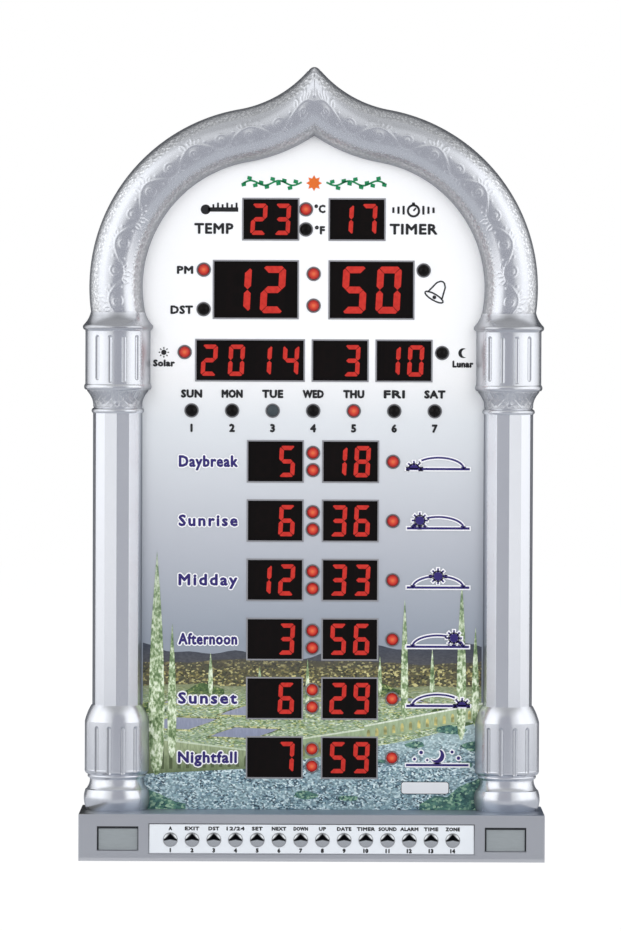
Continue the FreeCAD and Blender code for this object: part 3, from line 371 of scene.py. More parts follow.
def case_lacquer(clock):
    """Satin lacquer of the plinth and the case; the plinth's upper side is less metallic and carries a
    painted reflection.
    """
    made = Finish("case_lacquer")
    cloud = made.noise(CLOUD)
    speck = made.noise(0.5 * MM, 3.0)
    plain = made.blend(cloud, toned(clock.case, 0.97), toned(clock.case, 1.03))
    top = PLINTH_HIGH.z
    reached, passed = (made.height(top + low * MM, top + (low + 0.4) * MM) for low in (-0.5, 0.1))
    top_reflection_band = made.minus(reached, passed)
    # Painted reflection along the plinth's upper side: near black at the ends, blue-grey between.
    ledge_reflection = made.ramp(made.share(made.axis("X"), PLINTH_LOW.x, PLINTH_HIGH.x), (
        (0.0, (0.04, 0.04, 0.034)), (0.02, (0.06, 0.062, 0.056)), (0.045, (0.33, 0.37, 0.44)),
        (0.2, (0.33, 0.38, 0.46)), (0.5, (0.25, 0.32, 0.40)), (0.9, (0.33, 0.38, 0.46)),
        (1.0, (0.15, 0.18, 0.24)),
    ))
    made.base(made.blend(top_reflection_band, plain, ledge_reflection))
    sheen = made.spread(made.axis("Y"), 0.7, 0.3, -20 * MM, 10 * MM)
    made.set("Metallic", made.plus(made.times(sheen, made.minus(1.0, top_reflection_band)), made.times(top_reflection_band, 0.45)))
    made.gloss(speck, 0.30, 0.38)
    made.bump(speck, 0.003 * MM)
    return made.material


def badge_lacquer(clock):
    """Sunk plates with fine level brush lines."""
    made = Finish("badge_lacquer", metallic=0.3)
    lines = made.noise(0.35 * MM, 2.0, made.stretched(0.06, 1.0, 1.0))
    made.base(made.blend(lines, toned(clock.badge, 0.86), toned(clock.badge, 1.14)))
    made.gloss(lines, 0.38, 0.48)
    made.bump(lines, 0.01 * MM)
    return made.material


def face_film(clock):
    """Printed sheet that fades from white at the top to blue-grey above the landscape."""
    made = Finish("face_film", specular_ior_level=0.3)
    fade = made.ramp(made.height(140 * MM, 330 * MM), (
        (0.0, tuple(clock.face_foot)), (0.36, tuple(clock.face_low)), (0.75, tuple(clock.face_middle)),
        (0.9, toned(clock.face_top, 0.92)), (1.0, tuple(clock.face_top)),
    ))
    speck = made.noise(0.7 * MM, 2.0)
    made.base(made.blend(made.spread(speck, 0.0, 0.04), fade, (0.5, 0.5, 0.55)))
    made.gloss(made.noise(20 * MM), 0.38, 0.46)
    made.bump(speck, 0.002 * MM)
    return made.material


def button_chrome():
    """Bright plated caps with a painted reflection of a dark gable in their upper halves."""
    made = Finish("button_chrome", metallic=1.0)
    marks = made.noise(0.5 * MM, 2.0, made.stretched(6.0, 1.0, 1.0))
    centres = button_centres()
    pitch = centres[1].x - centres[0].x
    shifted = made.plus(made.axis("X"), pitch / 2 - centres[0].x)
    aside = made.calc("ABSOLUTE", made.minus(made.calc("FLOORED_MODULO", shifted, pitch), pitch / 2))
    rise = made.minus(made.axis("Z"), centres[0].z)
    # Painted reflection: a dark gable between the eave and the gable slopes, over each button.
    eave_slope, gable_slope = 0.22, 0.92
    over_eave = made.share(made.plus(rise, made.times(aside, eave_slope)), -0.1 * MM, 0.5 * MM)
    under_gable = made.share(made.plus(rise, made.times(aside, gable_slope)), 4.7 * MM, 3.7 * MM)
    plate = made.blend(marks, (0.66, 0.67, 0.68), (0.78, 0.79, 0.80))
    made.base(made.blend(made.times(over_eave, under_gable), plate, (0.006, 0.007, 0.009)))
    made.gloss(marks, 0.16, 0.24)
    made.bump(marks, 0.002 * MM)
    return made.material


def lit_bars(clock):
    """Bars that glow unevenly."""
    made = Finish("lit_bars", roughness=0.5, emission_strength=0.36, specular_ior_level=0.2)
    patch = made.noise(2.4 * MM, 1.0)
    made.base(made.blend(patch, toned(clock.lit_red, 0.5), toned(clock.lit_red, 0.62)))
    made.set("Emission Color", made.blend(made.spread(patch, 0.0, 1.0), toned(clock.lit_red, 0.85),
                                          (0.72, 0.045, 0.028)))
    return made.material


def lit_lamp():
    """Red dome that glows, with a painted orange highlight at its tip that fades to dark red at the rim."""
    made = Finish("lit_lamp", roughness=0.26, emission_strength=0.55, specular_ior_level=0.35)
    tip_y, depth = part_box("lamps_lit")[0].y, 2.6 * MM
    # Painted highlight: the glow is orange at the tip nearest the viewer and darkens towards the rim.
    glow = made.ramp(made.share(made.axis("Y"), tip_y, tip_y + depth), (
        (0.0, (1.0, 0.27, 0.09)), (0.10, (0.86, 0.10, 0.04)), (0.42, (0.50, 0.014, 0.012)),
        (0.8, (0.16, 0.006, 0.006)), (1.0, (0.05, 0.004, 0.004)),
    ))
    made.base(made.blend(made.noise(1.5 * MM, 1.0), (0.19, 0.012, 0.010), (0.24, 0.016, 0.012)))
    made.set("Emission Color", glow)
    return made.material


def dark_lamp():
    """Unlit domes; the third of the week is grey instead of black."""
    made = Finish("dark_lamp", specular_ior_level=0.15)
    third = (weekday_places()[2], FACE_Y, WEEK_Z)
    near, past = 5 * MM, 7 * MM
    distance = made.add("VectorMath", {0: made.place, 1: third}, operation="DISTANCE").outputs["Value"]
    cloud = made.noise(2.5 * MM)
    black = made.blend(cloud, (0.003, 0.0025, 0.0025), (0.006, 0.005, 0.005))
    grey = made.blend(cloud, (0.045, 0.058, 0.066), (0.075, 0.09, 0.10))
    made.base(made.blend(made.share(distance, past, near), black, grey))
    made.gloss(cloud, 0.17, 0.26)
    return made.material


def board_mask():
    """Green solder mask over copper tracks."""
    made = Finish("board_mask", roughness=0.35)
    track = made.spread(made.cells(4 * MM, feature="DISTANCE_TO_EDGE"), 1.0, 0.0, 0.04, 0.09)
    made.base(made.blend(track, (0.006, 0.07, 0.03), (0.02, 0.15, 0.06)))
    made.bump(track, 0.03 * MM)
    return made.material


def cable_grey():
    """Flat cable of fine parallel wires."""
    made = Finish("cable_grey", roughness=0.5)
    wire_pitch = 6.4 * MM
    inputs = {"Vector": made.place, "Scale": 1.0 / wire_pitch}
    wires = made.add("TexWave", inputs, bands_direction="X").outputs["Fac"]
    made.base(made.blend(wires, (0.20, 0.20, 0.21), (0.42, 0.42, 0.43)))
    made.bump(wires, 0.2 * MM)
    return made.material


def cell_sleeve():
    """Plain blue sleeve with pale ends."""
    made = Finish("cell_sleeve", roughness=0.3)
    low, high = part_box("battery_cells")
    bands = made.ramp(made.share(made.axis("X"), low.x, high.x), (
        (0.0, (0.55, 0.55, 0.53)), (0.05, (0.03, 0.07, 0.22)), (0.95, (0.05, 0.10, 0.28)),
        (1.0, (0.55, 0.55, 0.53)),
    ), "CONSTANT")
    made.base(made.blend(made.spread(made.noise(3 * MM), 0.0, 0.15), bands, (0.3, 0.3, 0.4)))
    made.bump(made.noise(6 * MM), 0.05 * MM)
    return made.material


STYLED_FINISHES = {SILVER: silver_lacquer, "case_grey": case_lacquer, BADGE: badge_lacquer,
                   FACE: face_film, "segment_lit": lit_bars}
FIXED_FINISHES = {"button_chrome": button_chrome, "lamp_red": lit_lamp, "lamp_black": dark_lamp,
                  "board_green": board_mask, "ribbon_grey": cable_grey, "cell_label": cell_sleeve}
SMOKED, METAL = {"specular_ior_level": 0.12}, {"metallic": 1.0}
PLAIN_FINISHES = {  # slot: name, tint, roughness, grain, bump depth, variation and shader settings
    "display_black": ("display_black", (0.0045, 0.0032, 0.003), 0.34, 0.8, 0.004, 0.3, SMOKED),
    "segment_dark": ("dark_bars", (0.0055, 0.0034, 0.0032), 0.36, 0.8, 0.004, 0.2, SMOKED),
    "part_black": ("moulded_black", (0.02, 0.02, 0.022), 0.5, 0.5, 0.02, 0.2, {}),
    "steel": ("zinc_plate", (0.50, 0.50, 0.47), 0.32, 0.8, 0.01, 0.15, METAL),
    "speaker_paper": ("cone_paper", (0.02, 0.02, 0.022), 0.9, 0.7, 0.08, 0.3, {}),
    "magnet": ("ferrite", (0.03, 0.03, 0.032), 0.7, 0.6, 0.04, 0.3, {}),
    "contact_nickel": ("nickel_strip", (0.62, 0.60, 0.55), 0.25, 0.6, 0.01, 0.12, METAL),
}


def slot_finish(slot, clock):
    """The finish of one of the record's material slots."""
    if slot == STRIP:
        return plain_finish("strip_film", clock.strip, 0.5, 0.4, 0.004, 0.03)
    if slot in PLAIN_FINISHES:
        *values, constants = PLAIN_FINISHES[slot]
        return plain_finish(*values, **constants)
    return STYLED_FINISHES[slot](clock) if slot in STYLED_FINISHES else FIXED_FINISHES[slot]()


# ---- Mesh building -----------------------------------------------------------
def linked(name, data):
    """A new object in the scene."""
    made = bpy.data.objects.new(name, data)
    bpy.context.scene.collection.objects.link(made)
    return made


def new_piece(name, mesh, material):
    """Links a finished mesh as a piece that moves with the case."""
    piece = linked(name, mesh)
    mesh.materials.clear()
    mesh.materials.append(material)
    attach(piece, CASE)
    return piece


def mesh_of(name, points, faces, smooth=False):
    mesh = bpy.data.meshes.new(name)
    mesh.from_pydata([tuple(p) for p in points], [], faces)
    if smooth:
        mesh.shade_smooth()
    return mesh


def plate_mesh(name, outline):
    """Upright flat mesh of one outline of (x, z) corners."""
    return mesh_of(name, [(x, 0, z) for x, z in outline], [tuple(range(len(outline)))])


def reshaped(mesh, *changes):
    """The mesh after some changes, each of which works on its bmesh."""
    shape = bmesh.new()
    shape.from_mesh(mesh)
    for change in changes:
        change(shape)
    shape.to_mesh(mesh)
    shape.free()
    return mesh


def facing_out(mesh):
    return reshaped(mesh, lambda shape: bmesh.ops.recalc_face_normals(shape, faces=shape.faces))


def face_viewer(shape):
    """Turns the faces of a flat shape towards the viewer."""
    for face in shape.faces:
        face.normal_update()
        if face.normal.y > 0:
            face.normal_flip()


def set_marks(mesh, name, values):
    mesh.attributes.new(name, "FLOAT", "POINT").data.foreach_set("value", values)


def ring_faces(rows, columns, closed):
    """Quads between rows of points; closed joins the last point of a row to its first."""
    return [(i * columns + j, i * columns + (j + 1) % columns,
             (i + 1) * columns + (j + 1) % columns, (i + 1) * columns + j)
            for i in range(rows - 1) for j in range(columns if closed else columns - 1)]


def solid_boxes(node):
    """Lowest and highest corner of each solid of a CAD node, in order of height and x."""
    shape = bmesh.new()
    shape.from_mesh(NODES[node].data)
    bmesh.ops.remove_doubles(shape, verts=shape.verts, dist=TOUCHING)
    seen, boxes = set(), []
    for start in shape.verts:
        if start in seen:
            continue
        seen.add(start)
        queue, low, high = [start], start.co.copy(), start.co.copy()
        while queue:
            vert = queue.pop()
            low = Vector(map(min, low, vert.co))
            high = Vector(map(max, high, vert.co))
            others = {edge.other_vert(vert) for edge in vert.link_edges} - seen
            seen |= others
            queue += others
        boxes.append((low, high))
    shape.free()
    return sorted(boxes, key=lambda box: (-round(box[0].z / MM), box[0].x))


def window_boxes():
    """Boxes of all the displays."""
    return [box for node in sorted(NODES) if node.startswith("display_") for box in solid_boxes(node)]


def lamp_centres():
    """Places of all the lamps, as (x, z)."""
    return [((low + high) / 2).xz for node in ("lamps_lit", "lamps_dark") for low, high in solid_boxes(node)]


def weekday_places():
    return sorted(x for x, z in lamp_centres() if abs(z - WEEK_Z) < MM)


def button_centres():
    return [(low + high) / 2 for low, high in (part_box(f"button_{n:02d}") for n in range(1, 15))]


def polar(x, z, radius, turn):
    """Point at a distance and a turn (radians, anticlockwise from the right) from (x, z)."""
    return (x + radius * math.cos(turn), z + radius * math.sin(turn))


def arc_points(x, z, radius, start, end, count):
    """Points on an arc, in degrees from the right, anticlockwise."""
    return [polar(x, z, radius, math.radians(start + (end - start) * i / count)) for i in range(count + 1)]


def circle_points(x, z, radius, count):
    return arc_points(x, z, radius, 0, 360, count)[:-1]


def rectangle(low, high, grow=0.0):
    """Corners of an upright rectangle, grown on all sides."""
    return [(low.x - grow, low.z - grow), (high.x + grow, low.z - grow),
            (high.x + grow, high.z + grow), (low.x - grow, high.z + grow)]


def cut_holes(shape, holes):
    """Cuts upright rectangles out of a flat shape."""
    for low, high in holes:
        for corner, across in ((low, (1, 0, 0)), (high, (1, 0, 0)), (low, (0, 0, 1)), (high, (0, 0, 1))):
            whole = list(shape.verts) + list(shape.edges) + list(shape.faces)
            bmesh.ops.bisect_plane(shape, geom=whole, plane_co=corner, plane_no=across, dist=TOUCHING)
        middles = [(face, face.calc_center_median()) for face in shape.faces]
        inside = [face for face, at in middles if low.x < at.x < high.x and low.z < at.z < high.z]
        bmesh.ops.delete(shape, geom=inside, context="FACES")


class Print:
    """Flat shapes of one ink, gathered into one mesh in front of the face."""

    def __init__(self, layer=0):
        self.y = FACE_Y - layer * LAYER
        self.points, self.faces = [], []

    def shape(self, outline):
        """Adds a filled outline of (x, z) corners."""
        start = len(self.points)
        self.points += [Vector((x, self.y, z)) for x, z in outline]
        self.faces.append(tuple(range(start, len(self.points))))

    def band(self, line, width, closed=False):
        """Adds a stroke of even width along (x, z) points."""
        sides = []
        count = len(line)
        for i, point in enumerate(line):
            before = line[(i - 1) % count] if closed or i else point
            after = line[(i + 1) % count] if closed or i < count - 1 else point
            along = (Vector(after) - Vector(before)).normalized()
            across = Vector((-along.y, along.x)) * (width / 2)
            sides.append((Vector(point) + across, Vector(point) - across))
        for i in range(count if closed else count - 1):
            near, far = sides[i], sides[(i + 1) % count]
            self.shape([near[0], near[1], far[1], far[0]])

    def disc(self, x, z, radius, corners=24):
        self.shape(circle_points(x, z, radius, corners))

    def rays(self, x, z, near, far, width, count=8):
        """Adds strokes away from a centre, an eighth of a turn apart."""
        for i in range(count):
            self.band([polar(x, z, near, i * EIGHTH), polar(x, z, far, i * EIGHTH)], width)

    def put(self, name, material, holes=()):
        """Makes the piece, facing the viewer, with the holes cut out of it."""
        def merge(shape):
            bmesh.ops.remove_doubles(shape, verts=shape.verts, dist=2 * TOUCHING)
        mesh = reshaped(mesh_of(name, self.points, self.faces), merge, lambda shape: cut_holes(shape, holes),
                        face_viewer)
        new_piece(name, mesh, material)


def ring_motif(width):
    """Flat ring of radius 1."""
    ring = Print()
    ring.band(circle_points(0, 0, 1.0, 28), width, closed=True)
    return mesh_of("ring", [(p.x, 0, p.z) for p in ring.points], ring.faces)


def frame_mesh(name, boxes, inside, outside, front, back):
    """Thin closed frames along the sides of upright boxes, reaching inside and outside them."""
    points, faces = [], []
    for low, high in boxes:
        start = len(points)
        inner, outer = rectangle(low, high, -inside), rectangle(low, high, outside)
        for outline, y in ((outer, front), (inner, front), (inner, back), (outer, back)):
            points += [(x, y, z) for x, z in outline]
        for i in range(4):
            after = 4 * ((i + 1) % 4)
            for j in range(4):
                k = (j + 1) % 4
                faces.append(tuple(start + index for index in (4 * i + j, 4 * i + k, after + k, after + j)))
    return facing_out(mesh_of(name, points, faces))


# ---- Text --------------------------------------------------------------------
def evaluated_mesh(holder):
    """A new mesh of an object with its modifiers, or of its text."""
    return bpy.data.meshes.new_from_object(holder.evaluated_get(bpy.context.evaluated_depsgraph_get()))


def text_mesh(words, spacing):
    """Flat mesh of a line of text that starts at 0 on its baseline."""
    curve = bpy.data.curves.new("text", "FONT")
    curve.body = words
    curve.space_character = spacing
    curve.resolution_u = 2
    holder = linked("text", curve)
    mesh = evaluated_mesh(holder)
    bpy.data.objects.remove(holder)
    bpy.data.curves.remove(curve)
    return mesh


def extent(mesh, axis):
    values = [vert.co[axis] for vert in mesh.vertices]
    return min(values), max(values)


class Lettering:
    """Lines of text gathered into one mesh; each letter is thickened by shifted copies of itself."""

    def __init__(self, y):
        self.y = y
        self.shape = bmesh.new()
        self.capital = extent(text_mesh("H", 1.0), 1)[1]

    def write(self, words, x, z, capital, weight, width=None, copies=8, spacing=1.1):
        """Words whose capitals stand on z, with their middle at x."""
        mesh = text_mesh(words, spacing)
        low, high = extent(mesh, 0)
        tall = (capital - 2 * weight) / self.capital
        wide = (width - 2 * weight) / (high - low) if width else tall
        middle = (low + high) / 2
        shifts = [(0.0, 0.0)] + circle_points(0, 0, weight, copies)
        for i, (dx, dz) in enumerate(shifts):
            copy = mesh.copy()
            y = self.y - i * FINE_LAYER
            copy.transform(Matrix(((wide, 0, 0, x - wide * middle + dx), (0, 0, 0, y),
                                   (0, tall, 0, z + weight + dz), (0, 0, 0, 1))))
            self.shape.from_mesh(copy)
            bpy.data.meshes.remove(copy)
        bpy.data.meshes.remove(mesh)

    def put(self, name, material, slot=FACE):
        """Makes the piece, facing the viewer."""
        face_viewer(self.shape)
        mesh = bpy.data.meshes.new(name)
        self.shape.to_mesh(mesh)
        self.shape.free()
        new_piece(name, mesh, material)


# ---- Copies of a small shape -------------------------------------------------
def copies_tree(motif, material):
    """Node tree that puts a small shape on every point, turned and stretched by the point's values."""
    tree = bpy.data.node_groups.new("copies", "GeometryNodeTree")
    for name, way, kind in (("Places", "INPUT", "Geometry"), ("Scale", "INPUT", "Float"),
                            ("Variation", "INPUT", "Float"), ("Seed", "INPUT", "Int"),
                            ("Copies", "OUTPUT", "Geometry")):
        tree.interface.new_socket(name, in_out=way, socket_type="NodeSocket" + kind)

    def node(kind, inputs=None, **settings):
        return add_node(tree, kind, inputs, **settings).outputs

    def marked(name):
        return node("GeometryNodeInputNamedAttribute", {"Name": name}, data_type="FLOAT_VECTOR")["Attribute"]
    given = node("NodeGroupInput")
    turn = node("FunctionNodeEulerToRotation", {0: marked("turn")})[0]
    lowest = node("ShaderNodeMath", {0: 1.0, 1: given["Variation"]}, operation="SUBTRACT")[0]
    chance = node("FunctionNodeRandomValue", {2: lowest, "Seed": given["Seed"]}, data_type="FLOAT")[1]
    size = node("ShaderNodeMath", {0: chance, 1: given["Scale"]}, operation="MULTIPLY")[0]
    stretch = node("ShaderNodeVectorMath", {0: marked("stretch"), "Scale": size}, operation="SCALE")[0]
    source = node("GeometryNodeObjectInfo", {"Object": motif})["Geometry"]
    put = node("GeometryNodeInstanceOnPoints", {"Points": given["Places"], "Instance": source,
                                                "Rotation": turn, "Scale": stretch})[0]
    real = node("GeometryNodeRealizeInstances", {"Geometry": put})[0]
    paint = node("GeometryNodeSetMaterial", {"Geometry": real, "Material": material})[0]
    node("NodeGroupOutput", {"Copies": paint})
    return tree


def copies(name, motif, places, material, scale=1.0, variation=0.0, seed=1):
    """Mesh of a small shape repeated at each (point, turn, stretch)."""
    source = linked("motif", motif)
    carrier_mesh = mesh_of("places", [point for point, _, _ in places], [])
    for label, index in (("turn", 1), ("stretch", 2)):
        attribute = carrier_mesh.attributes.new(label, "FLOAT_VECTOR", "POINT")
        attribute.data.foreach_set("vector", [value for place in places for value in place[index]])
    carrier = linked("places", carrier_mesh)
    tree = copies_tree(source, material)
    modifier = carrier.modifiers.new("copies", "NODES")
    modifier.node_group = tree
    values = {"Scale": scale, "Variation": variation, "Seed": seed}
    for item in tree.interface.items_tree:
        if item.in_out == "INPUT" and item.name in values:
            modifier[item.identifier] = values[item.name]
    mesh = evaluated_mesh(carrier)
    mesh.name = name
    carrier.modifiers.remove(modifier)
    for helper in (source, carrier):
        bpy.data.objects.remove(helper)
    bpy.data.node_groups.remove(tree)
    return mesh


def domed_motif(sides=8, rings=3):
    """Half ball of radius 1 on the XY plane, dome up."""
    points = [Vector((0, 0, 1))]
    for i in range(1, rings + 1):
        tilt = math.pi / 2 * i / rings
        for j in range(sides):
            turn = math.tau * j / sides
            points.append(Vector((math.sin(tilt) * math.cos(turn), math.sin(tilt) * math.sin(turn),
                                  math.cos(tilt))))
    faces = [(0, 1 + j, 1 + (j + 1) % sides) for j in range(sides)]
    faces += [tuple(index + 1 for index in face) for face in ring_faces(rings, sides, True)]
    faces.append(tuple(range(1 + (rings - 1) * sides, 1 + rings * sides)))
    return facing_out(mesh_of("dome", points, faces, smooth=True))


# ---- Reliefs -----------------------------------------------------------------
def eased(value):
    """Smooth step from 0 to 1."""
    value = min(1.0, max(0.0, value))
    return value * value * (3 - 2 * value)


class Carving:
    """Raised lines on a surface that is laid flat, as sample points with a half width each."""

    def __init__(self):
        self.samples = []

    def stroke(self, line, start_width, end_width=None, mirrored=False):
        """Adds a line of (along, across) points whose half width may taper."""
        end_width = start_width if end_width is None else end_width
        total = max(1, len(line) - 1)
        for i, (along, across) in enumerate(line):
            half = start_width + (end_width - start_width) * i / total
            self.samples.append((along, across, half))
            if mirrored:
                self.samples.append((along, -across, half))

    def finished(self):
        self.tree = kdtree.KDTree(len(self.samples))
        for i, (along, across, _) in enumerate(self.samples):
            self.tree.insert((along, across, 0.0), i)
        self.tree.balance()
        return self

    def height(self, along, across):
        """0 on the ground, 1 on top of a line."""
        reach = 1.35  # how far a line's flank reaches from its middle, in half widths
        nearest = self.tree.find_n((along, across, 0.0), 3)
        return max(eased(reach - distance / self.samples[i][2]) for _, i, distance in nearest)


def spiral(along, across, radius, start, turns, hand, end_radius):
    """Points of a scroll that winds inwards."""
    steps_per_turn, tightening = 26, 0.85
    steps = int(steps_per_turn * turns)
    line = []
    for i in range(steps + 1):
        share = i / steps
        reach = radius + (end_radius - radius) * share ** tightening
        line.append(polar(along, across, reach, start + hand * math.tau * turns * share))
    return line


def leaf(along, across, heading, size, bend):
    """Outline of a small pointed leaf, as one stroke out and back."""
    line = []
    steps, plumpness = 16, 0.26
    for i in range(steps + 1):
        share = i / steps
        reach = size * (1 - abs(2 * share - 1))
        side = plumpness * size * math.sin(math.tau * share)
        turn = heading + bend * reach / size
        line.append((along + reach * math.cos(turn) - side * math.sin(turn),
                     across + reach * math.sin(turn) + side * math.cos(turn)))
    return line


def vine(start, end, period, reach):
    """Waving stem with a scroll in each hollow, leaves and buds, between two places along."""
    carving = Carving()
    fine = 0.35 * MM
    half = period / 2

    def stem(along):
        return (along, reach * math.sin(math.tau / period * along))
    carving.stroke([stem(start + i * fine) for i in range(int((end - start) / fine) + 1)], 0.6 * MM)
    for k in range(int(start / half) - 1, int(end / half) + 2):
        middle = (k + 0.5) * half
        side = 1 if k % 2 == 0 else -1
        centre = -side * 0.15 * reach
        scroll = spiral(middle, centre, 0.82 * reach, -side * (math.pi / 2 + 0.9), 1.15, side, 0.2 * reach)
        carving.stroke(scroll, 0.55 * MM, 0.4 * MM)
        carving.stroke([(middle, centre)], 1.0 * MM)
        for heading, size, shift in ((0.9, 1.15, 0.10), (2.3, 1.0, -0.08), (1.55, 1.3, 0.0)):
            root = stem(middle + shift * period)
            carving.stroke(leaf(*root, side * heading, size * reach, 0.35 * side), 0.42 * MM)
        for shift in (-0.25, 0.25):
            carving.stroke([(middle + shift * period, -side * 0.75 * reach)], 0.8 * MM)
    return carving


def guilloche(carving, start, end, period, middle, reach):
    """Two crossing waves and a row of dots outside them, along both borders."""
    fine = 0.3 * MM
    alongs = [start + i * fine for i in range(int((end - start) / fine) + 1)]
    for hand in (-1, 1):
        wave = [(along, middle + hand * reach * math.sin(math.pi * along / period)) for along in alongs]
        carving.stroke(wave, 0.38 * MM, mirrored=True)
    for i in range(1, int((end - start) / period) + 1):
        for hand in (-1, 1):
            carving.stroke([(i * period, middle + hand * (reach + 0.9 * MM))], 0.55 * MM, mirrored=True)


class ArchLine:
    """Places on the arch's half-round moulding, from the right capital to the crown."""

    def __init__(self, clock):
        self.tube = clock.tube_radius
        self.rise = clock.arch_rise
        self.path_r = clock.arch_outer_radius - self.tube
        self.centre_x = COLUMN_X - math.sqrt(self.path_r ** 2 - self.rise ** 2)
        self.centre_z = ARCH_LOW.z + self.rise
        self.counter_x = self.centre_x + clock.counter_offset
        span = clock.arch_outer_radius + clock.counter_radius
        self.counter_z = self.centre_z + math.sqrt(span ** 2 - clock.counter_offset ** 2)
        self.counter_r = clock.counter_radius + self.tube
        self.turn = math.atan2(self.counter_z - self.centre_z, self.counter_x - self.centre_x)
        self.haunch = self.path_r * (self.turn + math.asin(self.rise / self.path_r))
        self.crown = self.counter_r * abs(math.acos(self.counter_x / self.counter_r) - self.turn)
        self.length = self.haunch + self.crown

    def section(self, share, lean):
        """Point on the face under the skin and the outward direction, at a share of the whole length."""
        side = self.tube * math.sin(lean)
        reached = share * self.length
        if reached <= self.haunch:
            radius = self.path_r + side
            start = -math.asin(self.rise / radius)
            turn = start + (self.turn - start) * reached / self.haunch
            outward = Vector((math.cos(turn), 0, math.sin(turn)))
            return Vector((self.centre_x, FACE_Y, self.centre_z)) + outward * radius, outward
        radius = self.counter_r - side
        start = self.turn - math.pi
        end = math.acos(self.counter_x / radius) - math.pi
        turn = start + (end - start) * (reached - self.haunch) / self.crown
        inward = Vector((math.cos(turn), 0, math.sin(turn)))
        return Vector((self.counter_x, FACE_Y, self.counter_z)) + inward * radius, -inward

    def point(self, share, lean, lift):
        """Point over the moulding's skin and its normal; lean runs from the inner to the outer edge."""
        flat, outward = self.section(share, lean)
        ahead = Vector((0, -math.cos(lean), 0))
        normal = outward * math.sin(lean) + ahead
        return flat + ahead * self.tube + normal * lift, normal


def rounded_tip(point, tip_radius):
    """Draws a point near the sharp tip back on to the tip's rounding."""
    centre = Vector((0, point.y, ARCH_HIGH.z - tip_radius))
    reach = point - centre
    near = abs(point.x) < 3 * tip_radius and point.z > centre.z
    if near and reach.length > tip_radius and reach.z > 0.35 * reach.length:
        return centre + reach.normalized() * tip_radius
    return point


def build_arch(clock):
    """Ogee arch with a vine along its middle and an interlaced border on each side."""
    line = ArchLine(clock)
    rows, columns = 330, 92
    band = 14.3 * MM  # from the middle of the moulding to the middle of a border
    start, end = -3 * MM, line.length + 6 * MM
    carving = vine(start, end, clock.vine_period, 4.6 * MM)
    guilloche(carving, start, end, clock.border_period, band, 2.1 * MM)
    carving.finished()
    edge = math.pi / 2
    leans = [edge * (2 * j / columns - 1) for j in range(columns + 1)]
    # inside marks the inner side of the moulding, which the silver finish darkens with painted shade.
    inside = [eased((-lean - 0.6) / 0.6) for lean in leans]
    outer_tone, inner_tone = 0.75, 0.55
    border = [eased((abs(lean) - 0.60) / 0.15) * eased((1.42 - abs(lean)) / 0.12)
              * (outer_tone if lean > 0 else inner_tone) for lean in leans]
    fades = [eased((edge - abs(lean)) / 0.35) for lean in leans]
    half, marks = [], []
    for i in range(rows + 1):
        share = i / rows
        from_crown = line.length * (1 - share)
        ridges = [fade * carving.height(from_crown, line.tube * lean) for lean, fade in zip(leans, fades)]
        lifts = [clock.vine_height * ridge for ridge in ridges]
        half.append([rounded_tip(line.point(share, lean, lift)[0], clock.tip_radius)
                     for lean, lift in zip(leans, lifts)])
        marks.append(ridges)
    mirrored = [[Vector((-p.x, p.y, p.z)) for p in row] for row in half[-2::-1]]
    points = [point for row in half + mirrored for point in row]
    width, rings = columns + 1, 2 * rows + 1
    faces = ring_faces(rings, width, True)
    faces += [tuple(range(width)), tuple(range(len(points) - width, len(points)))]
    mesh = facing_out(mesh_of("arch_relief", points, faces, smooth=True))
    mesh.set_sharp_from_angle(angle=math.radians(50))
    # The relief mark sets the painted shade in the hollows and the painted light on the ridges.
    set_marks(mesh, "relief", [mark for row in marks + marks[-2::-1] for mark in row])
    set_marks(mesh, "inside", inside * rings)
    set_marks(mesh, "border", border * rings)
    piece = new_piece("arch_relief", mesh, relief_lacquer(clock))
    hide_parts("arch_molding")
    build_beads(line, clock, band)


def build_beads(line, clock, band):
    """Beads in the eyes of the arch's interlaced borders."""
    places = []
    sunk = 0.1 * MM
    for i in range(int(line.length / clock.border_period)):
        share = 1 - (i + 0.5) * clock.border_period / line.length
        for hand in (-1, 1):
            ends = line.point(share, hand * band / line.tube, -sunk)
            for side in (-1, 1):
                place, heading = (Vector((side * end.x, end.y, end.z)) for end in ends)
                places.append((place, heading.to_track_quat("Z", "Y").to_euler(), UNSTRETCHED))
    lacquer = bead_lacquer(clock)
    mesh = copies("arch_beads", domed_motif(), places, lacquer, clock.bead_radius, 0.08, clock.seed)
    new_piece("arch_beads", mesh, lacquer)


def capital_profile(rise):
    """Radius of the capital's leaf hollow at a height over its foot."""
    low, middle, high = 15.6, 16.3, 20.2  # radii at the foot, half way up and at the top
    foot, tall = 3.4, 11.6
    share = (rise / MM - foot) / tall
    return ((1 - share) * (1 - 2 * share) * low + 4 * share * (1 - share) * middle
            + share * (2 * share - 1) * high) * MM


def leaf_carving(foot, head):
    """Crossing slanted leaves around a hollow, with fine ribs along them."""
    carving = Carving()
    pitch, bow = 9.0 * MM, 0.12
    shares = [i / 32 for i in range(33)]
    for k in range(-5, 6):
        for side in (-1, 1):
            for shift, half in ((0.0, 0.5), (1.5, 0.28), (3.0, 0.28), (4.5, 0.4)):
                slants = [pitch * (t + bow * math.sin(math.pi * t)) + shift * MM for t in shares]
                carving.stroke([(k * pitch + side * slant, foot + (head - foot) * t)
                                for t, slant in zip(shares, slants)], half * MM)
    return carving.finished()


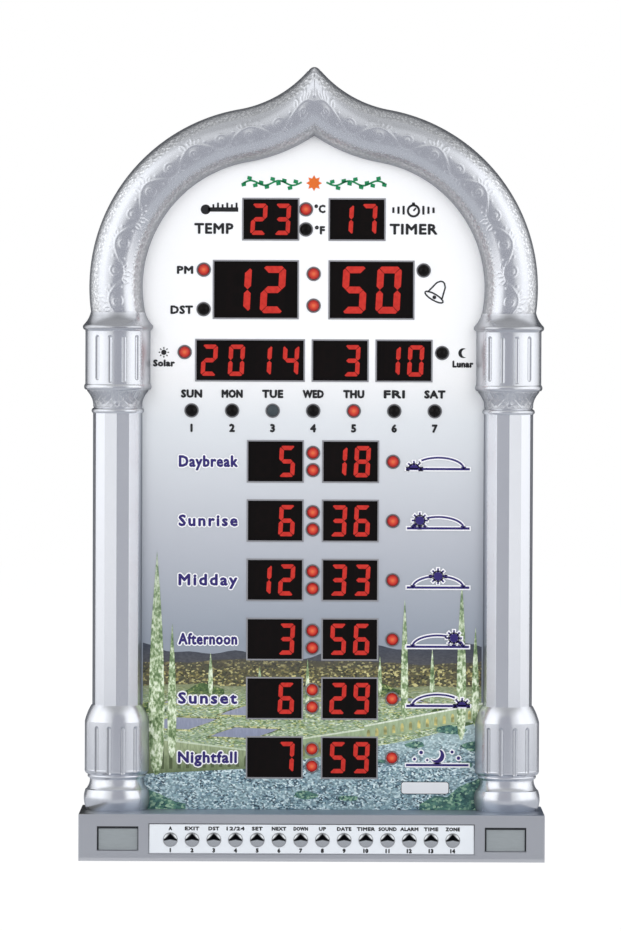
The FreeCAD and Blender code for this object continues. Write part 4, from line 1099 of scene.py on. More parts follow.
def build_capitals(clock):
    """Carved leaf bands in the hollows of the two capitals."""
    foot, head = 3.6 * MM, 14.8 * MM
    carving = leaf_carving(foot, head)
    rows, columns = 44, 150
    width = columns + 1
    outer = ring_faces(rows + 1, width, False)
    rim = list(range(width)) + [r * width + columns for r in range(1, rows + 1)]
    rim += [rows * width + j for j in range(columns - 1, -1, -1)]
    rim += [r * width for r in range(rows - 1, 0, -1)]
    hollow = 0.93  # radius of the band's inner side, as a share of the outer one
    base, sunk = 0.12 * MM, 0.05 * MM
    lacquer = relief_lacquer(clock)
    for side, middle in (("left", -COLUMN_X), ("right", COLUMN_X)):
        points, marks = [], []
        for i in range(rows + 1):
            rise = foot + (head - foot) * i / rows
            radius = capital_profile(rise)
            edge = eased(min(i, rows - i) / 3)
            for j in range(width):
                turn = math.pi * j / columns
                ridge = carving.height(radius * (turn - math.pi / 2), rise)
                reach = radius + (base + clock.leaf_height * ridge) * edge - sunk
                points.append((middle - reach * math.cos(turn), FACE_Y - reach * math.sin(turn),
                               SHAFT_HIGH.z + rise))
                marks.append(ridge)
        inner = [(middle + hollow * (x - middle), FACE_Y + hollow * (y - FACE_Y), z) for x, y, z in points]
        count = len(points)
        faces = outer + [tuple(index + count for index in face[::-1]) for face in outer]
        faces += [(here, after, after + count, here + count) for here, after in zip(rim, rim[1:] + rim[:1])]
        name = "capital_leaves_" + side
        mesh = facing_out(mesh_of(name, points + inner, faces, smooth=True))
        # The relief mark sets the painted shade in the leaves' hollows and the painted light on their
        # ridges.
        set_marks(mesh, "relief", marks * 2)
        new_piece(name, mesh, lacquer)


# ---- Printed face ------------------------------------------------------------
ROW_NAMES = ("Daybreak", "Sunrise", "Midday", "Afternoon", "Sunset", "Nightfall")
DAY_NAMES = ("SUN", "MON", "TUE", "WED", "THU", "FRI", "SAT")
KEY_NAMES = ("A", "EXIT", "DST", "12/24", "SET", "NEXT", "DOWN", "UP", "DATE", "TIMER", "SOUND", "ALARM",
             "TIME", "ZONE")
ROW_NAME_X, ROW_SIGN_X = -67.9 * MM, 81.5 * MM
DAY_NAME_Z, DAY_NUMBER_Z, DAY_TALL = 298.0 * MM, 275.8 * MM, 5.4 * MM
ORNAMENT_Z = 437.4 * MM
MOON_ROW = 5
FACE_LABELS = (  # words, x, foot, height and width in millimetres
    ("TEMP", -64.8, 404.3, 7.0, 25.4), ("TIMER", 64.6, 404.3, 7.0, 31.0), ("°C", 3.9, 418.0, 5.4, 7.2),
    ("°F", 3.9, 404.2, 5.4, 6.6), ("PM", -83.4, 378.3, 5.2, 10.6), ("DST", -85.5, 352.3, 5.5, 14.6),
    ("Solar", -96.9, 318.2, 4.5, 14.2), ("Lunar", 97.0, 318.2, 4.5, 13.6),
)


def middle_height(node):
    low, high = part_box(node)
    return (low.z + high.z) / 2


def row_heights():
    """Middle heights of the six rows of times, from the top down."""
    return [middle_height(f"display_row_{n}") for n in range(1, 7)]


def build_borders(clock):
    """Grey borders around the displays and grey rings around the lamps."""
    mesh = frame_mesh("display_borders", window_boxes(), clock.border_inside, clock.border_outside,
                      FACE_Y - 0.33 * MM, FACE_Y + 0.35 * MM)
    new_piece("display_borders", mesh, ink("border_ink", clock.border_grey))
    low, high = solid_boxes("lamps_lit")[0]
    middle_radius = (high.x - low.x + clock.lamp_ring) / 2
    places = [((x, FACE_Y - 0.31 * MM, z), UNTURNED, UNSTRETCHED) for x, z in lamp_centres()]
    rim = ink("lamp_ring_ink", toned(clock.border_grey, 0.62))
    mesh = copies("lamp_rings", ring_motif(clock.lamp_ring / middle_radius), places, rim, middle_radius)
    new_piece("lamp_rings", mesh, rim)


def build_row_names(clock):
    """Navy names of the six times with white halos, left of their displays."""
    pen, tall, wide = 0.42 * MM, clock.row_text, 38.4 * MM
    for name, lift, grow, count, material in (
        ("row_halos", 0.35 * MM, 0.85 * MM, 12, ink("halo_ink", clock.halo_ink)),
        ("row_names", 0.42 * MM, 0.0, 8, ink("navy_ink", clock.navy_ink)),
    ):
        text = Lettering(FACE_Y - lift)
        for word, z in zip(ROW_NAMES, row_heights()):
            spacing = 1.25 if len(word) < 8 else 1.12
            text.write(word, ROW_NAME_X, z - tall / 2 - grow, tall + 2 * grow, pen + grow, wide + 2 * grow,
                       count, spacing)
        text.put(name, material)


def day_arc(marks, x, z, row, grow):
    """Horizon with the sun on its path over it, low, high or setting, or with the moon, after the row."""
    wide, tall, base, half = 16.5 * MM, 7.4 * MM, z - 4.6 * MM, 20.3 * MM + grow

    def path_point(share):
        return (x - wide * math.cos(math.pi * share), base + tall * math.sin(math.pi * share))
    marks.band([(x - half, base), (x + half, base)], 1.45 * MM + 2 * grow)
    if row == MOON_ROW:
        marks.shape(arc_points(x, base + 6.0 * MM, 4.6 * MM + grow, -150, 60, 20)
                    + arc_points(x - 1.8 * MM, base + 7.2 * MM, 4.0 * MM - grow, 40, -125, 20))
        for aside, up, size in ((-10.5, 8.2, 1.2), (-14.8, 3.9, 0.95), (9.6, 8.6, 1.0), (13.8, 4.6, 1.2),
                                (-6.5, 3.3, 0.8)):
            marks.disc(x + aside * MM, base + up * MM, size * MM + grow, 10)
        return
    share = (0.08, 0.24, 0.5, 0.72, 0.92)[row]
    sun, gap = path_point(share), 4.4 * MM - grow
    for first, last in ((0.0, share), (share, 1.0)):
        path = [path_point(first + (last - first) * i / 20) for i in range(21)]
        clear = [point for point in path if math.dist(point, sun) > gap]
        if len(clear) > 1:
            marks.band(clear, 1.2 * MM + 2 * grow)
    radius, rays = 2.9 * MM + grow, (3.7 * MM - grow, 5.2 * MM + grow, 1.1 * MM + 2 * grow)
    if row in (0, 4):
        marks.shape(arc_points(sun[0], base, radius, 0, 180, 20))
        marks.rays(sun[0], base, *rays, count=5)
    else:
        marks.disc(*sun, radius, 20)
        marks.rays(*sun, *rays)


def build_row_signs(clock):
    """Navy day-arc signs with white halos, right of the displays."""
    for name, layer, grow, material in (
        ("sign_halos", 9, 0.85 * MM, ink("sign_halo_ink", clock.halo_ink)),
        ("row_signs", 11, 0.0, ink("sign_ink", clock.navy_ink)),
    ):
        marks = Print(layer)
        for row, z in enumerate(row_heights()):
            day_arc(marks, ROW_SIGN_X, z, row, grow)
        marks.put(name, material)


def build_labels(clock):
    """Small black labels on the upper half of the face."""
    text = Lettering(FACE_Y - 6 * LAYER)
    for word, x, z, tall, wide in FACE_LABELS:
        text.write(word, x * MM, z * MM, tall * MM, 0.36 * MM, wide * MM)
    for number, (x, word) in enumerate(zip(weekday_places(), DAY_NAMES), start=1):
        text.write(word, x, DAY_NAME_Z, DAY_TALL, 0.42 * MM, 13.8 * MM)
        text.write(str(number), x, DAY_NUMBER_Z, DAY_TALL, 0.4 * MM)
    text.put("face_labels", ink("label_ink", clock.black_ink))


def build_signs(clock):
    """Bell, thermometer, stopwatch, sun and moon signs in black."""
    marks = Print(6)
    top = middle_height("display_temperature") + 6.2 * MM
    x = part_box("display_temperature")[0].x - 14.5 * MM
    marks.disc(x - 9.6 * MM, top, 3.2 * MM)
    marks.band([(x - 8 * MM, top), (x + 11.5 * MM, top)], 2.8 * MM)
    for i in range(6):
        tick = x - 4.6 * MM + i * 3 * MM
        marks.band([(tick, top + 1.0 * MM), (tick, top + (4.4 if i % 2 else 3.4) * MM)], 1.2 * MM)
    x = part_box("display_countdown")[1].x + 18.4 * MM
    marks.band(circle_points(x, top - 0.4 * MM, 3.6 * MM, 28), 1.4 * MM, closed=True)
    marks.band([(x, top - 0.4 * MM), (x + 1.6 * MM, top + 1.4 * MM)], 1.1 * MM)
    marks.band([(x, top + 3.2 * MM), (x, top + 5.0 * MM)], 1.8 * MM)
    for side in (-1, 1):
        for i in range(3):
            dash, half = x + side * (6.4 + 3.3 * i) * MM, (2.8 - 0.5 * i) * MM
            marks.band([(dash, top - half), (dash, top + half)], 1.4 * MM)
    bell_sign(marks, 80.6 * MM, 368.2 * MM, 12.0 * MM, math.radians(-30))
    date = middle_height("display_year")
    sun = (-97.0 * MM, date + 5.0 * MM)
    marks.disc(*sun, 1.7 * MM)
    marks.rays(*sun, 2.3 * MM, 3.4 * MM, 0.7 * MM)
    marks.shape(arc_points(97.2 * MM, date + 5.2 * MM, 3.2 * MM, 60, 300, 16)
                + arc_points(98.8 * MM, date + 5.2 * MM, 2.7 * MM, 285, 75, 16))
    marks.put("face_signs", ink("sign_black", clock.black_ink))


def bell_sign(marks, x, z, size, tilt):
    """Outline of a leaning hand bell with a rim and a clapper."""
    def turned(points):
        return [(x + size * (px * math.cos(tilt) - pz * math.sin(tilt)),
                 z + size * (px * math.sin(tilt) + pz * math.cos(tilt))) for px, pz in points]
    left = [(-0.44, -0.36), (-0.34, 0.02), (-0.26, 0.34), (-0.12, 0.50)]
    body = left + [(0.0, 0.54)] + [(-px, pz) for px, pz in reversed(left)]
    rim = [(0.56 * math.cos(math.pi * i / 8), -0.42 + 0.17 * math.sin(math.pi * i / 8)) for i in range(16)]
    pen = 0.95 * MM
    marks.band(turned(body), pen)
    marks.band(turned(rim), pen, closed=True)
    marks.disc(*turned([(0.02, -0.42)])[0], 1.25 * MM, 12)


def build_ornament(clock):
    """Orange rosette between two green sprays, under the arch's point."""
    z = ORNAMENT_Z
    rosette, sprays = Print(6), Print(6)
    petal, shoulder, aside = 5.2 * MM, 3.1 * MM, 0.42
    for turn in (i * EIGHTH for i in range(8)):
        rosette.shape([(0, z), polar(0, z, shoulder, turn - aside), polar(0, z, petal, turn),
                       polar(0, z, shoulder, turn + aside)])
    rosette.put("rosette", ink("orange_ink", clock.orange_ink))

    swing, bend = 1.5 * MM, 2.9 * MM

    def stem(reach):
        return z + swing * math.sin(reach / bend)
    for side in (-1, 1):
        reaches = [8 * MM + 38 * MM * i / 48 for i in range(49)]
        sprays.band([(side * reach, stem(reach)) for reach in reaches], 1.1 * MM)
        for i in range(10):
            reach = 10.5 * MM + 3.75 * MM * i
            up = 1 if i % 2 == 0 else -1
            sprays.shape([(side * (reach + along * MM), stem(reach) + up * rise * MM)
                          for along, rise in ((0, 0), (2.9, 0.9), (2.5, 3.1), (-0.2, 2.5))])
    sprays.put("sprays", ink("green_ink", clock.green_ink))


# ---- Printed landscape -------------------------------------------------------
PRINT_HALF = 110.5 * MM
PRINT_FOOT = FACE_LOW.z
PRINT_ROUGHNESS = 0.42
NO_HAZE = (160, 200)  # heights over all the planting
SPECKLES = {  # size of a cell and heights where the haze starts and ends in millimetres, haze, squash, tones
    "tree": (1.4, (120, 132), (0.075, 0.07, 0.06), 1.5, (
        (0.030, 0.030, 0.018), (0.085, 0.078, 0.035), (0.16, 0.14, 0.055), (0.08, 0.09, 0.045),
        (0.32, 0.28, 0.10), (0.055, 0.055, 0.035), (0.60, 0.55, 0.24), (0.10, 0.09, 0.05))),
    "lawn": (1.5, (98, 114), (0.20, 0.22, 0.11), 2.8, (
        (0.24, 0.34, 0.15), (0.46, 0.58, 0.34), (0.10, 0.17, 0.06), (0.34, 0.40, 0.32),
        (0.72, 0.80, 0.60), (0.19, 0.28, 0.12), (0.50, 0.52, 0.20), (0.28, 0.38, 0.26))),
    "hedge": (1.6, NO_HAZE, (0.5, 0.5, 0.3), 1.5, (
        (0.16, 0.20, 0.06), (0.55, 0.55, 0.22), (0.74, 0.72, 0.40), (0.30, 0.36, 0.14),
        (0.62, 0.64, 0.34), (0.12, 0.16, 0.06))),
    "paving": (1.25, (62, 96), (0.46, 0.60, 0.60), 1.5, (
        (0.030, 0.055, 0.080), (0.17, 0.28, 0.35), (0.48, 0.62, 0.68), (0.10, 0.19, 0.24),
        (0.74, 0.86, 0.88), (0.24, 0.38, 0.43), (0.06, 0.11, 0.15), (0.36, 0.50, 0.54))),
    "shrub": (1.7, NO_HAZE, (0.02, 0.07, 0.075), 1.5, (
        (0.02, 0.07, 0.075), (0.06, 0.17, 0.13), (0.14, 0.30, 0.20), (0.03, 0.10, 0.10),
        (0.34, 0.52, 0.36), (0.08, 0.20, 0.17))),
    "thicket": (1.3, NO_HAZE, (0.02, 0.05, 0.015), 1.5, (
        (0.02, 0.05, 0.015), (0.06, 0.12, 0.035), (0.13, 0.21, 0.06), (0.035, 0.08, 0.025),
        (0.34, 0.40, 0.14), (0.08, 0.14, 0.05))),
}


def in_mm(points):
    return [(x * MM, z * MM) for x, z in points]


def ridge_line(base, swell, phase):
    """Skyline across the print, from the left to the right, with base and swell in millimetres."""
    half, step = int(PRINT_HALF / MM), 5

    def wave(x):
        return (0.55 * math.sin(0.031 * x + phase) + 0.3 * math.sin(0.083 * x + 2.1 * phase)
                + 0.15 * math.sin(0.21 * x + phase))
    return in_mm((x, base + swell * wave(x)) for x in range(-half, half + 1, step))


def grounded(line, foot):
    return [(line[0][0], foot)] + line + [(line[-1][0], foot)]


def hill_print():
    """Hazy slopes, darker at the top and warmer at the foot."""
    made = Finish("far_hill_print", roughness=PRINT_ROUGHNESS)
    dark = (0.058, 0.068, 0.098)
    fade = made.blend(made.height(122 * MM, 138 * MM), (0.100, 0.098, 0.100), dark)
    grain = made.spread(made.noise(2.2 * MM, 4.0, made.stretched(1.0, 1.0, 2.2)), 0.0, 0.5)
    made.base(made.blend(grain, fade, toned(dark, 0.5)))
    return made.material


def speckle_print(kind):
    """Speckled planting or paving: random cells in a few tones that fade into a haze at the top."""
    size, (low, high), haze, squash, tones = SPECKLES[kind]
    made = Finish(kind + "_print", roughness=PRINT_ROUGHNESS)
    squashed = made.stretched(1.0, 1.0, squash)
    random = made.add("SeparateColor", {"Color": made.cells(size * MM, squashed, "Color")}).outputs[0]
    flecks = made.ramp(random, [(i / len(tones), tone) for i, tone in enumerate(tones)], "CONSTANT")
    patch = made.share(made.noise(9 * MM, 2.0, squashed), 0.4, 0.62)
    shaded = made.blend(patch, flecks, made.blend(0.45, flecks, tones[-1]))
    made.base(made.blend(made.height(low * MM, high * MM), shaded, haze))
    return made.material


def wall_print(name, top, foot, low, high):
    """Floodlit plaster: pale at the top, shaded and streaked below; heights in millimetres."""
    made = Finish(name, roughness=PRINT_ROUGHNESS)
    streak = made.noise(2.4 * MM, 3.0, made.stretched(2.0, 1.0, 0.5))
    fade = made.blend(made.height(low * MM, high * MM), foot, top)
    made.base(made.blend(made.spread(streak, 0.0, 0.45), fade, toned(foot, 0.7)))
    return made.material


def archway_print():
    """Lit openings, warmer towards the right."""
    made = Finish("archway_print", roughness=PRINT_ROUGHNESS)
    to_right = made.share(made.axis("X"), -40 * MM, 60 * MM)
    glow = made.times(to_right, made.spread(made.noise(4 * MM, 1.0), 0.3, 1.0))
    made.base(made.blend(glow, (0.08, 0.11, 0.045), (0.70, 0.62, 0.22)))
    return made.material


def poplar_print():
    """Floodlit leaves in clumps, duller towards the tops."""
    made = Finish("poplar_print", roughness=PRINT_ROUGHNESS)
    tufts = made.noise(1.3 * MM, 3.0, made.stretched(1.1, 1.0, 0.6))
    lobes = made.plus(made.times(tufts, 0.55), made.times(made.noise(5 * MM), 0.45))
    lit = made.ramp(lobes, (
        (0.30, (0.05, 0.09, 0.03)), (0.44, (0.17, 0.27, 0.11)), (0.51, (0.44, 0.55, 0.32)),
        (0.60, (0.82, 0.90, 0.70)), (1.0, (0.93, 0.97, 0.88)),
    ))
    to_top = made.spread(made.height(90 * MM, 205 * MM), 0.0, 0.6, 0.2, 1.0)
    made.base(made.blend(to_top, lit, (0.20, 0.27, 0.19)))
    return made.material


def build_landscape(clock):
    """Printed evening garden: hills, a belt of trees, lit terraces with pools, walls, poplars and paving."""
    holes = window_boxes()
    for name, layer, skyline, foot, material in (
        ("print_far_hills", 1, (134, 6.5, 5.6), 100 * MM, hill_print()),
        ("print_trees", 2, (127, 2.2, 2.4), 84 * MM, speckle_print("tree")),
        ("print_lawns", 3, (110.5, 1.8, 4.0), PRINT_FOOT, speckle_print("lawn")),
    ):
        slope = Print(layer)
        slope.shape(grounded(ridge_line(*skyline), foot))
        slope.put(name, material, holes)
    build_pools(holes)
    paving = Print(5)
    edge = in_mm(((64, 76), (20, 68), (-20, 60), (-66, 58)))
    paving.shape(grounded([(PRINT_HALF, 88 * MM)] + edge + [(-PRINT_HALF, 55 * MM)], PRINT_FOOT))
    paving.put("print_paving", speckle_print("paving"), holes)
    build_thickets(holes)
    build_walls(holes)
    build_poplars(clock, holes)


def build_pools(holes):
    """Long slanted pools with clipped hedges around them, on the terraces."""
    pools, hedges = Print(4), Print(5)
    for x, z, wide, tall, lean in ((-74, 102, 34, 5.5, 8), (-36, 95, 34, 6.5, 9), (22, 99, 30, 5, -7),
                                   (60, 103, 22, 4, -6), (-86, 87, 32, 8, 10), (-44, 81, 30, 7, 9)):
        outline = in_mm(((x - wide / 2 - lean, z - tall / 2), (x + wide / 2 - lean, z - tall / 2 - 1.2),
                         (x + wide / 2 + lean, z + tall / 2 - 1.2), (x - wide / 2 + lean, z + tall / 2)))
        pools.shape(outline)
        hedges.band(outline, 1.3 * MM, closed=True)
    water = wall_print("pool_print", (0.36, 0.38, 0.47), (0.27, 0.30, 0.42), 78, 104)
    pools.put("print_pools", water, holes)
    hedges.put("print_hedges", speckle_print("hedge"), holes)


def build_thickets(holes):
    """Dark shrubs in the print's lower corners and behind the walls."""
    corner, hedge = Print(5.5), Print(4.5)
    for line in (((-118, 47), (-108, 44), (-98, 40), (-90, 36), (-82, 34)),
                 ((70, 34), (80, 40), (88, 39), (96, 46), (106, 50), (118, 56))):
        corner.shape(grounded(in_mm(line), PRINT_FOOT))
    turns = [math.tau * k / 14 for k in range(14)]
    for x, z, wide in ((90, 83, 20), (106, 72, 18), (67, 73, 13), (-4, 40, 16), (24, 38, 13), (99, 60, 12),
                       (44, 62, 9)):
        corner.shape(in_mm((x + 0.5 * wide * math.cos(turn) * (1 + 0.12 * math.sin(3 * turn + x)),
                            z + 0.16 * wide * math.sin(turn) * (1 + 0.2 * math.cos(2 * turn + z)))
                           for turn in turns))
    corner.put("print_shrubs", speckle_print("shrub"), holes)
    for x, z, wide in ((-106, 96, 22), (86, 93, 24), (104, 84, 20), (-70, 108, 26), (44, 108, 30)):
        rises = [4.2 * math.sin(math.pi * k / 8) + 0.8 * math.sin(5.1 * k + x) for k in range(9)]
        mound = in_mm((x + wide * (k / 8 - 0.5), z + rise) for k, rise in enumerate(rises))
        hedge.shape(grounded(mound, (z - 2.5) * MM))
    hedge.put("print_thickets", speckle_print("thicket"), holes)


def build_walls(holes):
    """Long garden walls with rows of lit arches, the near one in the shade."""
    shaded, lit, caps = Print(6), Print(6), Print(6.5)
    bay = 5.2  # millimetres from one arch to the next
    places = []
    for walls, (x0, z0, foot0), (x1, z1, foot1) in (
        (shaded, (-116, 78, 53), (-24, 67, 58)), (lit, (-24, 74, 60), (34, 83, 71)),
        (lit, (34, 85, 76), (116, 101, 91)),
    ):
        walls.shape(in_mm(((x0, foot0), (x1, foot1), (x1, z1), (x0, z0))))
        caps.band(in_mm(((x0, z0), (x1, z1))), 1.1 * MM)
        count = int((x1 - x0) / bay)
        for i in range(count):
            share = (i + 0.5) / count
            foot = foot0 + (foot1 - foot0) * share
            tall = z0 + (z1 - z0) * share - foot
            x, z = (x0 + (x1 - x0) * share) * MM, (foot + 0.12 * tall) * MM
            places.append(((x, FACE_Y - 0.265 * MM, z), UNTURNED, (2.1 * MM, 1, 0.52 * tall * MM)))
    for piece, name, finish, top, foot, low, high in (
        (shaded, "shaded_wall", "shaded_wall_print", (0.46, 0.54, 0.32), (0.09, 0.14, 0.05), 50, 76),
        (lit, "walls", "wall_print", (0.50, 0.60, 0.38), (0.26, 0.36, 0.19), 64, 104),
        (caps, "copings", "coping_print", (0.90, 0.95, 0.84), (0.50, 0.60, 0.40), 64, 96),
    ):
        piece.put("print_" + name, wall_print(finish, top, foot, low, high), holes)
    doorway = plate_mesh("doorway", [(-0.5, 0.0), (0.5, 0.0)] + arc_points(0, 0.62, 0.5, 0, 180, 8))
    put_copies("print_archways", doorway, places, archway_print(), holes)


def build_poplars(clock, holes):
    """Floodlit poplars, the tall ones at the two sides of the print."""
    right = [(0.10, 0.02), (0.34, 0.06), (0.46, 0.16), (0.50, 0.32), (0.44, 0.50), (0.33, 0.68),
             (0.18, 0.84), (0.06, 0.95)]
    poplar = plate_mesh("poplar", right + [(0.0, 1.0)] + [(-half, rise) for half, rise in reversed(right)])
    planted = ((-101, 50, 10.5, 150), (-91, 62, 6.0, 92), (60, 88, 5.0, 84), (97, 74, 6.5, 112),
               (106, 84, 4.5, 66), (-66, 104, 3.2, 30), (-3, 96, 2.8, 34), (-34, 106, 2.6, 18),
               (44, 104, 2.8, 28), (78, 96, 3.2, 40))
    places = [((x * MM, FACE_Y - 0.28 * MM, z * MM), UNTURNED, (wide * MM, 1, tall * MM))
              for x, z, wide, tall in planted]
    put_copies("print_poplars", poplar, places, poplar_print(), holes, variation=0.05, seed=clock.seed)


def put_copies(name, motif, places, material, holes, **chances):
    """Printed copies of a flat shape, with the displays cut out of them."""
    mesh = copies(name, motif, places, material, **chances)
    new_piece(name, reshaped(mesh, lambda shape: cut_holes(shape, holes), face_viewer), material)


# ---- Plates and strip --------------------------------------------------------
def build_name_plate(clock):
    """Small blank plate at the face's lower right, with a thin dark outline."""
    x, z, wide, tall, corner = 73.6 * MM, 44.9 * MM, 30.5 * MM, 7.4 * MM, 1.6 * MM
    for name, layer, grow, material in (
        ("plate_outline", 8, 0.45 * MM, ink("plate_line_ink", clock.black_ink)),
        ("blank_plate", 9, 0.0, ink("plate_ink", (0.82, 0.83, 0.86))),
    ):
        plate = Print(layer)
        outline = []
        for start, sx, sz in ((0, 1, 1), (90, -1, 1), (180, -1, -1), (270, 1, -1)):
            outline += arc_points(x + sx * (wide / 2 - corner), z + sz * (tall / 2 - corner),
                                  corner + grow, start, start + 90, 5)
        plate.shape(outline)
        plate.put(name, material)


def build_key_labels():
    """Function names over the buttons and their numbers below."""
    text = Lettering(STRIP_LOW.y - 0.05 * MM)
    for number, (word, centre) in enumerate(zip(KEY_NAMES, button_centres()), start=1):
        wide = min(11.8, 2.35 * len(word)) * MM
        text.write(word, centre.x, centre.z + 6.0 * MM, 2.5 * MM, 0.21 * MM, wide)
        text.write(str(number), centre.x, centre.z - 8.3 * MM, 2.9 * MM, 0.3 * MM)
    text.put("key_labels", ink("key_ink", (0.02, 0.02, 0.022)), STRIP)


def build_button_rings():
    """Thin grey collars around the buttons."""
    grey = ink("collar_ink", (0.40, 0.41, 0.43))
    places = [((c.x, STRIP_LOW.y - 0.04 * MM, c.z), UNTURNED, UNSTRETCHED) for c in button_centres()]
    mesh = copies("button_collars", ring_motif(0.09), places, grey, 4.62 * MM)
    new_piece("button_collars", mesh, grey)


def build_strip_edge():
    """Painted shadow of the strip's recess: a line around the strip of the buttons, dark at the top and
    paler at the bottom.
    """
    made = Finish("strip_recess_shadow", roughness=0.45)
    fade = made.blend(made.height(STRIP_LOW.z, STRIP_HIGH.z), (0.38, 0.40, 0.44), (0.11, 0.115, 0.125))
    made.base(made.blend(made.spread(made.noise(3 * MM), 0.0, 0.25), fade, (0.3, 0.3, 0.32)))
    mesh = frame_mesh("strip_edge", [(STRIP_LOW, STRIP_HIGH)], 0.5 * MM, 0.05 * MM,
                      STRIP_LOW.y - 0.06 * MM, STRIP_LOW.y + 0.1 * MM)
    new_piece("strip_edge", mesh, made.material)


def build_badge_gaskets():
    """Painted shadows in the recesses of the sunk plates: dark strips at their tops and sides."""
    points, faces = [], []
    box_sides = ((0, 1, 2, 3), (4, 5, 6, 7), (0, 1, 5, 4), (1, 2, 6, 5), (2, 3, 7, 6), (3, 0, 4, 7))
    for low, high in solid_boxes("badge_plates"):
        rim, under = 0.4 * MM, high.z - 1.0 * MM
        overlap = (0.5 if low.x > 0 else 0.0) * MM
        for x0, z0, x1, z1 in ((low.x - rim, under, high.x + rim, high.z + rim),
                               (low.x - rim, low.z, low.x + 0.6 * MM, under),
                               (high.x - overlap, low.z, high.x + rim, under)):
            start = len(points)
            points += [(x, y, z) for y in (low.y - 0.5 * MM, low.y + 0.2 * MM)
                       for x, z in ((x0, z0), (x1, z0), (x1, z1), (x0, z1))]
            faces += [tuple(start + index for index in side) for side in box_sides]
    # Near-black paint for the painted shadows.
    recess_shade = plain_finish("badge_shadow_paint", (0.024, 0.026, 0.030), 0.6, 0.4, 0.01, 0.1)
    new_piece("badge_gaskets", facing_out(mesh_of("badge_gaskets", points, faces)), recess_shade)


# ---- Nodes and stage ---------------------------------------------------------
def paint_nodes(clock):
    """Gives every solid of the frame the finish of its slot."""
    made = {}
    for part in frame["record"]["subparts"]:
        slot = part["material_slot"]
        if slot not in made:
            made[slot] = slot_finish(slot, clock)
        mesh = NODES[part["node"]].data
        mesh.materials.clear()
        mesh.materials.append(made[slot])


def staged_sheet(name, corners, finish):
    """A four-sided sheet that belongs to the stage."""
    sheet = linked(name, mesh_of(name, corners, [(0, 1, 2, 3)]))
    sheet.data.materials.append(finish.material)
    return sheet


def level_corners(half, front, back, z):
    return [(-half, front, z), (half, front, z), (half, back, z), (-half, back, z)]


def upright_corners(half, y, top):
    return [(-half, y, 0.0), (half, y, 0.0), (half, y, top), (-half, y, top)]


def build_floor():
    """Pale floor that keeps the clock's soft shadow."""
    made = Finish("floor_paper", roughness=0.9)
    made.base(made.blend(made.noise(0.4), (0.92, 0.92, 0.925), (0.94, 0.94, 0.945)))
    rays = made.add("LightPath").outputs
    seen = made.calc("MAXIMUM", rays["Is Camera Ray"], made.times(rays["Is Glossy Ray"], 0.45))
    brightness, cover = 1.055, 0.9
    white = made.add("Emission", {"Color": rgba((1, 1, 1)), "Strength": brightness}).outputs[0]
    mixed = made.add("MixShader", {0: made.times(seen, cover), 1: made.shader.outputs[0], 2: white})
    made.surface(mixed.outputs[0])
    staged_sheet("floor", level_corners(4.0, -4.0, 4.0, 0), made)


def build_cards():
    """Cards that only reflections see: grey for the middles of round mouldings, dark for their edges."""
    for name, corners, tint in (
        ("front_card", upright_corners(0.30, -0.62, 0.62), (0.34, 0.35, 0.39)),
        ("rear_card", upright_corners(0.75, 0.60, 1.10), (0.06, 0.065, 0.075)),
        ("floor_card", level_corners(1.2, -1.2, 0.55, 0.002), (0.46, 0.48, 0.52)),
    ):
        made = Finish(name + "_paper")
        tone = made.blend(made.noise(0.3), toned(tint, 0.96), tint)
        made.surface(made.add("Emission", {"Color": tone, "Strength": 1.0}).outputs[0])
        card = staged_sheet(name, corners, made)
        for ray in ("camera", "diffuse", "transmission", "shadow", "volume_scatter"):
            setattr(card, "visible_" + ray, False)


def build_world():
    """Studio surroundings: soft boxes at both sides, grey in front and above, darker behind."""
    world = bpy.data.worlds.new("studio")
    bpy.context.scene.world = world
    world.use_nodes = True
    made = Shading(world.node_tree, "Generated")
    aside, ahead, up = (made.axis(name) for name in "XYZ")

    def cool(level):
        return (0.955 * level, 0.975 * level, level)
    half = [(0.0, 0.06), (0.11, 0.07), (0.125, 0.35), (0.167, 0.62), (0.21, 0.84), (0.25, 1.0), (0.29, 0.90),
            (0.33, 1.0), (0.36, 0.97), (0.40, 0.74), (0.433, 0.60), (0.47, 0.50), (0.5, 0.46)]
    levels = half + [(1 - place, level) for place, level in half[-2::-1]]
    around = made.share(made.calc("ARCTAN2", aside, made.times(ahead, -1.0)), -math.pi, math.pi)
    ring = made.ramp(around, [(place, cool(level)) for place, level in levels])
    far = made.calc("ABSOLUTE", aside)
    sides = made.ramp(far, ((0.0, cool(0.20)), (0.5, cool(0.36)), (1.0, cool(0.42))))
    above = made.blend(made.share(up, 0.72, 0.88), sides, cool(0.38))
    overhead = made.blend(made.share(ahead, 0.6, 0.95), above, cool(0.12))
    studio = made.blend(made.share(up, 0.62, 0.77), ring, overhead)
    seen = made.add("LightPath").outputs["Is Camera Ray"]
    background = made.tree.nodes["Background"].inputs
    extra = 0.22  # strength beyond 1 that lights the clock without being seen
    feed(made.tree, background["Color"], made.blend(seen, studio, (1.0, 1.0, 1.0)))
    feed(made.tree, background["Strength"], made.minus(1 + extra, made.times(seen, extra)))


def build_lamps():
    """Two large soft lamps that light the face evenly from the front, and one behind."""
    lamp_height, clock_middle = 1.3, Vector((0, 0, 0.25))
    for name, x, y, power in (("lamp_left", -1.7, -2.4, 21.0), ("lamp_right", 1.7, -2.4, 21.0),
                              ("lamp_rear", 0.0, 2.6, 30.0)):
        light = bpy.data.lights.new(name, "AREA")
        light.shape = "RECTANGLE"
        light.size, light.size_y = 1.4, 1.8
        light.energy = power
        lamp = linked(name, light)
        lamp.location = (x, y, lamp_height)
        lamp.rotation_euler = (clock_middle - lamp.location).to_track_quat("-Z", "Y").to_euler()
        lamp.visible_glossy = False


